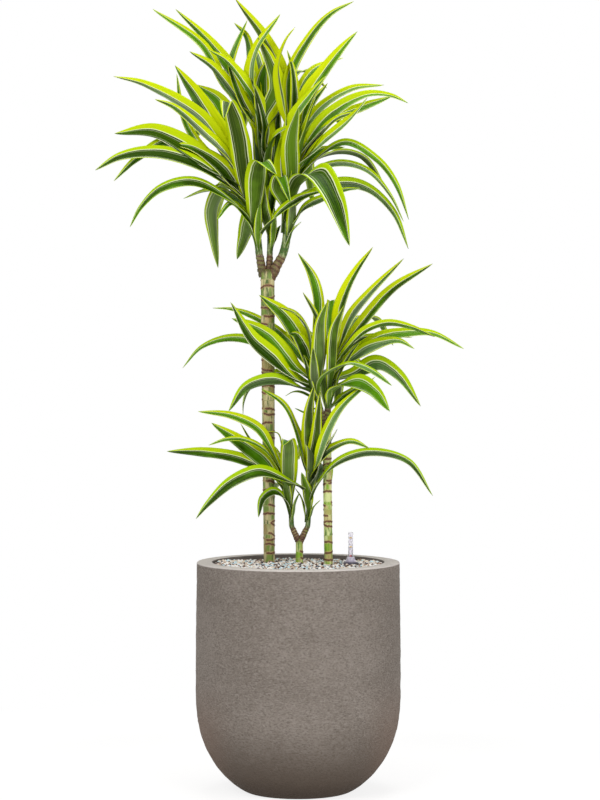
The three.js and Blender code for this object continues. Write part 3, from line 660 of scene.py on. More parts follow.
@dataclass
class Planter:
    """A round planter with a full, rounded bowl and a turned-in rim."""

    height: float = 0.484
    radius: float = 0.216
    fullest: float = 0.215  # height above which the wall is upright
    base: float = 0.108
    bowl: float = 2.55  # how long the bowl stays full on its way down
    turn_in: float = 0.79  # how roundly it meets the base
    crowding: float = 1.35  # how much closer the rows lie towards the base
    mouth: float = 0.179
    wall: float = 0.018
    lip: float = 0.034
    floor: float = 0.030
    floor_radius: float = 0.092
    rim_round: float = 0.0025
    drawn: float = 0.0022  # how much narrower the wall is at the rim
    steps: int = 380
    rows: int = 96
    relief: float = 0.0009
    finish: FiredClay = field(default_factory=FiredClay)

    def outer_radius(self, height: float) -> float:
        """The outside radius at a height."""
        if height >= self.fullest:
            return self.radius - self.drawn * smooth(self.height - 0.2, self.height, height)
        down = max(0.0, 1 - height / self.fullest)
        return self.base + (self.radius - self.base) * max(0.0, 1 - down**self.bowl) ** self.turn_in

    def profile(self) -> list[tuple[float, float]]:
        """The outline from the middle of the base over the rim to the middle of the inner floor."""
        outline = [(0.0, 0.0), (self.base * 0.5, 0.0), (self.base, 0.0)]
        for step in range(1, self.rows):
            share = step / self.rows
            height = (self.height - self.rim_round) * share**self.crowding
            outline.append((self.outer_radius(height), height))
        top = self.outer_radius(self.height)
        for centre, start in ((top - self.rim_round, 0), (self.mouth + self.rim_round, 90)):
            for step in range(5):
                angle = math.radians(start + 90 * step / 4)
                rise = self.height - self.rim_round + self.rim_round * math.sin(angle)
                outline.append((centre + self.rim_round * math.cos(angle), rise))
        under = self.height - self.lip
        outline += [(self.mouth, under), (self.radius - self.wall, under - 0.024)]
        for height in (self.fullest, 0.13, 0.07):
            outline.append((self.outer_radius(height) - self.wall, height))
        return [*outline, (self.floor_radius, self.floor), (0.0, self.floor)]

    def worn(self, place: Vector) -> float:
        """How far the hand-worked skin stands out at a place on the outer wall."""
        level = Vector((place.x, place.y, place.z * 1.9))
        coarse = noise.noise(level * 34)
        fine = noise.noise(level * 95 + Vector((5, 3, 1)))
        ends = smooth(0.002, 0.02, place.z) * smooth(self.height - 0.004, self.height - 0.02, place.z)
        return self.relief * ends * (0.6 * coarse + 0.5 * fine)

    def build(self) -> bpy.types.Object:
        """Spins the shell and works its outer skin."""
        mesh = spun(self.profile(), self.steps)
        for vert in mesh.verts:
            reach = math.hypot(vert.co.x, vert.co.y)
            if 0 < vert.co.z < self.height - self.rim_round and reach > self.outer_radius(vert.co.z) - 0.002:
                outward = Vector((vert.co.x, vert.co.y, 0)).normalized()
                vert.co += outward * self.worn(vert.co)
        return piece("planter_shell", mesh, [self.finish.material()], "planter", ["planter"])


STONES = (
    Stone("cream", "#f0e4d4", "#d6c2ac", 0.24),
    Stone("chalk", "#ffffff", "#ece6de", 0.29),
    Stone("ice", "#deeef2", "#b8d8e2", 0.15),
    Stone("sand", "#b8a08c", "#84685a", 0.10),
    Stone("rust", "#5c372c", "#301c18", 0.13),
    Stone("slate", "#5c565c", "#2c282e", 0.09),
)


class Heap:
    """Stones of one tone, gathered a handful at a time, because a small mesh takes one quickly."""

    HANDFUL = 48

    def __init__(self) -> None:
        """Starts an empty heap."""
        self.whole = self.empty()
        self.handful = self.empty()
        self.held = 0

    @staticmethod
    def empty() -> bmesh.types.BMesh:
        """A mesh without stones."""
        return layered(Granulate.SHADE)

    def tip(self) -> None:
        """Adds the handful to the heap."""
        data = bpy.data.meshes.new("handful")
        self.handful.to_mesh(data)
        self.handful.free()
        self.whole.from_mesh(data)
        bpy.data.meshes.remove(data)
        self.handful, self.held = self.empty(), 0

    def next(self) -> bmesh.types.BMesh:
        """The mesh that takes the next stone."""
        if self.held == self.HANDFUL:
            self.tip()
        self.held += 1
        return self.handful


@dataclass
class Granulate:
    """Angular mineral stones that cover the filling, in two layers."""

    SHADE = "shade"

    edge: float = 0.4735
    mound: float = 0.002
    bank: float = 0.0055  # how much higher the stones lie at the left and right
    mouth: float = 0.179
    spacing: float = 0.0072
    row_step: float = 0.866  # distance between rows, as a share of the spacing
    stray: float = 0.32  # how far a stone may lie off its spot, as a share of the spacing
    lower: float = 0.0028  # how much deeper the second layer lies
    smallest: float = 0.003
    largest: float = 0.005
    seed: int = 41
    keep_off: Sequence[tuple[Vector, float]] = ()

    def top(self, reach: float) -> float:
        """Height of the filling at a distance from the middle."""
        return self.edge + self.mound * (1 - (reach / self.mouth) ** 2)

    def spots(self, draw: random.Random) -> Iterable[tuple[Vector, float]]:
        """Where the stones lie, in two layers, with the size of each."""
        rows = int(self.mouth / (self.spacing * self.row_step)) + 1
        for layer, row in ((layer, row) for layer in (0, 1) for row in range(-rows, rows + 1)):
            for column in range(-rows, rows + 1):
                shift = 0.5 * (row % 2) + 0.5 * layer + draw.uniform(-self.stray, self.stray)
                x = (column + shift) * self.spacing
                y = (row + draw.uniform(-self.stray, self.stray)) * self.spacing * self.row_step
                size = draw.uniform(self.smallest, self.largest)
                reach = math.hypot(x, y)
                sunk = draw.uniform(-0.0012, 0.0014) - self.lower * layer
                clear = all(math.hypot(x - at.x, y - at.y) > bar + size * 0.8 for at, bar in self.keep_off)
                if reach + size < self.mouth and clear:
                    banked = self.bank * smooth(0.1, 0.172, abs(x))
                    yield Vector((x, y, self.top(reach) + banked + sunk)), size

    def stone(self, mesh: bmesh.types.BMesh, spot: Vector, size: float, draw: random.Random) -> None:
        """Adds one stone: a coarse ball, knocked out of shape."""
        turn = Quaternion([draw.gauss(0, 1) for _ in range(4)]).normalized()
        stretch = Matrix.Diagonal((1, draw.uniform(0.7, 1), draw.uniform(0.6, 0.9), 1))
        matrix = Matrix.Translation(spot) @ turn.to_matrix().to_4x4() @ stretch
        verts = bmesh.ops.create_icosphere(mesh, subdivisions=1, radius=size, matrix=matrix)["verts"]
        shade = mesh.verts.layers.float[self.SHADE]
        tone = draw.random()
        for vert in verts:
            vert.co += (vert.co - spot) * draw.uniform(-0.28, 0.16)
            vert[shade] = tone

    def build(self) -> None:
        """Deals the stones out to their tones, builds a piece for each, and paints shade on the bed below."""
        draw = random.Random(self.seed)
        heaps = [Heap() for _ in STONES]
        for spot, size in self.spots(draw):
            heap = draw.choices(heaps, [tone.share for tone in STONES])[0]
            self.stone(heap.next(), spot, size, draw)
        for heap, tone in zip(heaps, STONES):
            heap.tip()
            heap.handful.free()
            piece(f"granulate_{tone.name}", heap.whole, [tone.material()], "granulate", smooth_faces=False)
        # the bed below the stones, in painted shade
        refinish("substrate", PaintedShadeBed().material())


# ---------------------------------------------------------------- canes


@dataclass
class Cane:
    """A bare cane with slanted ring scars, and a woody crown that its shoots grow from."""

    SCAR = "scar_gap"
    BETWEEN = "between"
    WOOD = "wood"

    name: str
    at: tuple[float, float]
    top: Point
    radii: tuple[float, float]
    crown: float
    bark: Bark
    slot: str
    step: float = 17.0  # mean distance between scars
    slant: float = 2.6
    foot: float = 0.304  # where it stands in the granulate
    seed: int = 3
    around: int = 40
    row: float = 1.7
    far: float = 9.0  # a place at least this far from every scar counts as lying between two
    ring: float = 0.85  # how far a scar stands out
    swell: float = 0.3  # how uneven the skin is

    def __post_init__(self) -> None:
        """Places the cane and draws its scars."""
        self.base = Vector((self.at[0] * MM, self.at[1] * MM, self.foot))
        self.head = sighted(self.top)
        self.length = (self.head - self.base).length
        draw = random.Random(self.seed)
        self.scars = []
        height = 0.006
        while height < self.length - 0.004:
            lean = draw.uniform(0.35, 1.0) * self.slant * MM
            self.scars.append((height, lean, draw.uniform(0, 2 * math.pi), draw.uniform(0.1, 1.2)))
            height += self.step * MM * draw.choice((0.5, 0.85, 1.0, 1.15, 1.4))

    def gap(self, height: float, angle: float) -> float:
        """Distance in millimetres from a place on the skin to the nearest scar, at most far."""
        nearest = self.far
        for centre, lean, turn, arc in self.scars:
            if abs(height - centre) > 0.012:
                continue
            line = centre + lean * math.cos(angle - turn) + 0.25 * lean * math.cos(3 * angle + turn)
            line += 0.0004 * math.sin(7 * angle + 5 * turn)
            faded = 5 * smooth(0.0, -0.4, math.cos(angle + turn * 3) - arc + 1.0)
            nearest = min(nearest, abs(height - line) / MM + faded)
        return nearest

    def thickness(self, height: float, angle: float) -> float:
        """The radius of the skin at a height along the cane and an angle."""
        low, high = (radius * MM for radius in self.radii)
        radius = blend(low, high, height / self.length)
        ring = self.ring * MM * smooth(2.8, 0.5, self.gap(height, angle))
        round_skin = Vector((math.cos(angle), math.sin(angle), height * 60))
        swell = self.swell * MM * noise.noise(round_skin * 1.3 + self.head)
        ends = min(height, self.length - height)
        closed = blend(self.crown * MM / radius, 1, smooth(0, 0.006, ends))
        return (radius + ring + swell) * closed

    def along(self, share: float) -> tuple[Vector, Vector]:
        """The place and heading at a share of the trunk's length."""
        return self.base.lerp(self.head, share), (self.head - self.base).normalized()

    def trunk(self, mesh: bmesh.types.BMesh) -> None:
        """Adds the trunk and marks its scars."""
        rows = round(self.length / (self.row * MM))
        layers = mesh.verts.layers.float

        def radius(share: float, angle: float) -> float:
            return self.thickness(share * self.length, angle)

        for vert in tube(mesh, self.along, radius, self.around, rows):
            height = vert[layers[LIFT]] * self.length
            vert[layers[self.SCAR]] = self.gap(height, vert[layers[ANGLE]])
            vert[layers[self.BETWEEN]] = sum(1 for scar in self.scars if scar[0] < height)
            vert[layers[self.WOOD]] = smooth(0.014, 0.002, self.length - height) * 0.8

    def stub(self, mesh: bmesh.types.BMesh, shoot: "Shoot") -> None:
        """Adds the ringed, woody foot of a shoot and the knuckle that it grows from."""
        root, neck = (sighted(point) for point in shoot.axis[:2])
        radius = (shoot.radius + 0.6) * MM
        thick = shoot.radius * 1.25 * MM
        layers = mesh.verts.layers.float

        def wave(share: float, angle: float) -> float:
            return math.sin(share * 30 + 1.5 * math.sin(angle + shoot.radius))

        def rings(share: float, angle: float) -> float:
            lumps = noise.noise(Vector((math.cos(angle), math.sin(angle), share * 5)) * 1.6 + root)
            return blend(thick, radius, share) * (1 + 0.05 * wave(share, angle) + 0.09 * lumps)

        heading = (neck - root).normalized()
        for vert in tube(mesh, lambda share: (root.lerp(neck, share), heading), rings, 28, 26):
            vert[layers[self.SCAR]] = 2.2 + 2 * wave(vert[layers[LIFT]], vert[layers[ANGLE]])
            vert[layers[self.WOOD]] = blend(1, 0.55, vert[layers[LIFT]])
        heart = root.lerp(neck, 0.3)
        at_heart = Matrix.Translation(heart)
        for vert in bmesh.ops.create_icosphere(mesh, subdivisions=4, radius=1, matrix=at_heart)["verts"]:
            ray = vert.co - heart
            groove = math.sin(ray.z * 17 + 2 * ray.x)
            lumps = 0.16 * noise.noise(ray * 1.8 + root * 40) + 0.05 * groove
            vert.co = heart + ray * shoot.radius * MM * 1.3 * (1 + lumps)
            vert[layers[self.SCAR]] = 2.4 + 2.2 * groove
            vert[layers[self.WOOD]] = 1

    def build(self, shoots: Iterable["Shoot"]) -> bpy.types.Object:
        """Builds the cane with the feet of the shoots that grow on it."""
        mesh = layered(LIFT, ANGLE, self.SCAR, self.BETWEEN, self.WOOD)
        self.trunk(mesh)
        for shoot in shoots:
            self.stub(mesh, shoot)
        return piece(f"{self.name}_bark", mesh, [self.bark.material()], self.slot, [self.name])


# ---------------------------------------------------------------- leafy shoots


@dataclass
class Shoot:
    """A young stem with its leaves.

    A leaf is given as the height of its base, its full width, its roll in degrees and the points it
    passes, tip last, in millimetres. A positive roll turns the upper face of a leaf that grows to the
    right towards the front.
    """

    UV_NAME = "Blade"
    OWN = "own"
    YOUTH = "youth"
    DRIFT = "drift"

    name: str
    cane: str
    radius: float
    axis: Sequence[Point]
    leaves: Sequence[tuple]
    across: int = 12
    row: float = 0.006
    neck_width: float = 0.3  # a leaf's width where it leaves the stem, as a share of its full width
    broadest: float = 0.5  # how far along it reaches that
    taper: float = 3.2  # how late it narrows again
    point: float = 0.85  # how blunt its tip is
    wave: float = 0.035  # how far its edges wave, as a share of its width
    ripple: float = 0.011  # how far each of the finer ripples on them goes
    around: int = 28  # faces round the young stem
    clasp: float = 0.45  # a leaf's foot clasps the stem from this share of the way up to its base
    longest_foot: float = 75
    foot_seat: float = 0.95  # how far off the axis a leaf's foot lies, as a share of the stem's radius
    seat: float = 1.25  # the same, where the leaf leaves the stem
    thickness: float = 0.0008
    gap: float = 0.3
    pitch: float = 0.0085  # from ring to ring along the young stem
    most_drift: float = 0.42  # how far the green band lies towards the lower edge of a leaf on its side

    def axis_at(self, height: float) -> Point:
        """The point of the stem's axis at a height measured from the front."""
        upper = next((n for n, point in enumerate(self.axis) if point[2] >= height), 1)
        low, high = self.axis[max(1, upper) - 1], self.axis[max(1, upper)]
        share = (height - low[2]) / (high[2] - low[2])
        return tuple(blend(a, b, share) for a, b in zip(low, high))

    def route(self, base: float, points: Sequence[Point]) -> Route:
        """The line along a leaf's middle, from its foot on the side of the stem to its tip."""
        foot = max(base - self.longest_foot, blend(self.axis[1][2], base, self.clasp))
        places = [sighted(point) for point in (self.axis_at(foot), self.axis_at(base), *points)]
        outwards = places[2] - places[1]
        outwards.z = 0
        for place, seat in zip(places, (self.foot_seat, self.seat)):
            place += outwards.normalized() * seat * self.radius * MM
        return Route(places)

    def width(self, full: float, along: float) -> float:
        """A leaf's width in metres at a share of its length."""
        neck = self.neck_width + (1 - self.neck_width) * smooth(0, self.broadest, along)
        return full * MM * neck * max(0.0, 1 - along**self.taper) ** self.point

    def fold(self, along: float) -> float:
        """How steeply the two halves of a leaf rise from its middle, in radians."""
        clasp = 22 * (1 - smooth(0, 0.25, along))
        return math.radians(40 - 11 * smooth(0, 0.35, along) - 8 * along + clasp)

    def leaf(self, mesh: bmesh.types.BMesh, index: int, youth: float, draw: random.Random) -> None:
        """Adds one leaf, a grid laid over its route.

        Args:
            mesh: the shoot's leaves.
            index: which leaf of the table.
            youth: 0 for the oldest leaf and 1 for the youngest.
            draw: the shoot's random draws.
        """
        base, full, roll, *points = self.leaves[index]
        line = self.route(base, points)
        reach = sighted(points[-1]) - line.at(0)
        level = Vector((reach.x, reach.y, 0)).normalized()
        phase, own = 2.4 * index, draw.random()
        steep = (points[-1][2] - base) / (line.length / MM)
        youth = blend(youth, max(0.0, min(1.0, steep)), 0.5)
        drift = self.most_drift * -roll / 76 * draw.uniform(0.6, 1.15) + draw.uniform(-0.08, 0.08)
        lean, sway = draw.uniform(-0.45, 0.45), math.radians(draw.uniform(-14, 14))
        spans = ((14, 30), (0, 6.3), (0.3, 1.0))  # a ripple's rate, its start and its size
        ripples = [[draw.uniform(*span) for span in spans] for _ in range(3)]
        rows = max(24, round(line.length / self.row))
        layers, uv = mesh.verts.layers.float, mesh.loops.layers.uv[self.UV_NAME]
        grid = bmesh.ops.create_grid(mesh, x_segments=self.across, y_segments=rows, size=0.5)["verts"]
        for face in {face for vert in grid for face in vert.link_faces}:
            for loop in face.loops:
                loop[uv].uv = (loop.vert.co.x + 0.5, loop.vert.co.y + 0.5)
        frames = {}
        for vert in grid:
            share, side = vert.co.y + 0.5, -2 * vert.co.x
            if share not in frames:
                forward = line.heading(share)
                across = UP.cross(level)
                across = (across - forward * across.dot(forward)).normalized()
                turn = math.radians(roll) * smooth(0.05, 0.55, share) + sway * math.sin(5 * share + phase)
                across.rotate(Quaternion(forward, turn))
                frames[share] = (line.at(share), across, forward.cross(across), self.width(full, share) / 2)
            middle, across, upper, half = frames[share]
            out, flank = abs(side), math.copysign(1, side)
            fold = self.fold(share) * (1 + math.copysign(lean, side) * share)
            wave = self.wave * full * MM * math.sin(math.pi * share) * math.sin(11 * share + phase + flank)
            for rate, start, size in ripples:
                ripple = math.sin(rate * share + start + 1.3 * flank) * (1 - share**4)
                wave += self.ripple * full * MM * size * ripple
            rise = half * math.sin(fold) * (out**1.12 - smooth(0.08, 0.35, share)) + wave * out**1.6
            vert.co = middle + across * side * half * math.cos(fold) + upper * rise
            vert[layers[self.OWN]] = own
            vert[layers[self.YOUTH]] = youth
            vert[layers[self.DRIFT]] = drift
        bmesh.ops.remove_doubles(mesh, verts=grid, dist=2e-5)

    def build_leaves(self, skins: Sequence[bpy.types.Material]) -> bpy.types.Object:
        """Builds the shoot's leaves, whose undersides take the second finish."""
        draw = random.Random(self.name)
        mesh = layered(self.OWN, self.YOUTH, self.DRIFT)
        mesh.loops.layers.uv.new(self.UV_NAME)
        bases = [leaf[0] for leaf in self.leaves]
        for index, base in enumerate(bases):
            self.leaf(mesh, index, (base - min(bases)) / (max(bases) - min(bases)), draw)
        made = piece(f"{self.name}_leaves", mesh, skins, "leaves", [self.name])
        solid = made.modifiers.new("thickness", "SOLIDIFY")
        solid.thickness = self.thickness
        solid.offset = -1
        solid.material_offset = 1
        solid.material_offset_rim = 0
        return made

    def build_stem(self, skin: bpy.types.Material) -> bpy.types.Object:
        """Builds the young stem, ringed where leaves have dropped."""
        root, neck, *rest = (sighted(point) for point in self.axis)
        outward = (neck - root).normalized()
        start = neck + outward * self.gap * MM
        line = Route([start, start + outward * 6 * MM, *rest])
        mesh = layered(LIFT, ANGLE, Cane.SCAR, Cane.WOOD)
        layers = mesh.verts.layers.float

        def passed(share: float, angle: float) -> float:
            return share * line.length / self.pitch + 0.16 * math.cos(angle + self.radius)

        def radius(share: float, angle: float) -> float:
            wave = math.cos(2 * math.pi * passed(share, angle))
            closed = math.sqrt(max(0.02, min(1, (1 - share) * 14)))
            return self.radius * MM * (0.99 - 0.12 * share + 0.03 * max(0, wave)) * closed

        rows = round(line.length / (1.6 * MM))

        def along(share: float) -> tuple[Vector, Vector]:
            return line.at(share), line.heading(share)

        for vert in tube(mesh, along, radius, self.around, rows):
            share, rings = vert[layers[LIFT]], passed(vert[layers[LIFT]], vert[layers[ANGLE]])
            vert[layers[Cane.SCAR]] = abs(rings - round(rings)) * self.pitch / MM
            vert[layers[Cane.WOOD]] = 0.75 * smooth(0.009, 0.0, share * line.length)
        return piece(f"{self.name}_stem", mesh, [skin], "leaves", [self.name])


# The three canes. The tall one is paler and browner than the other two.
TALL_BARK = Bark("tall", "#c4b888", "#6f8636", "#38501a", "#a98a5c")
YOUNG_BARK = Bark("young", "#ccd490", "#84a82c", "#487412", "#b69c68")

CANES = (
    Cane("cane_tall", (-61, 76), (-64.5, 76, 1100), (11, 15), 11, TALL_BARK, "cane_tall", 16, 4.2, seed=5),
    Cane("cane_middle", (66.5, 22), (60, 22, 772), (9, 9), 5.5, YOUNG_BARK, "cane_green", 15, 2.6, seed=8),
    Cane("cane_short", (2.6, 57), (2.4, 57, 533), (7.6, 7.7), 6, YOUNG_BARK, "cane_green", 14, 2.0, seed=12),
)

FACE = LeafSkin(
    name="upper face",
    deep="#143000",
    green="#4e8404",
    vein="#729c10",
    line="#e2e6c0",
    margin="#98bc00",
    margin_young="#ced600",
    # a greener leaf base, partly painted shade inside the crown
    foot="#547810",
    roughness=0.42,
)
BACK = LeafSkin(
    name="underside",
    deep="#283c08",
    green="#547614",
    vein="#769030",
    line="#d4daae",
    margin="#90b004",
    margin_young="#c8d200",
    # a greener leaf base, partly painted shade inside the crown
    foot="#506c14",
    roughness=0.55,
    # painted sheen of the underside
    painted_sheen="#84936c",
)

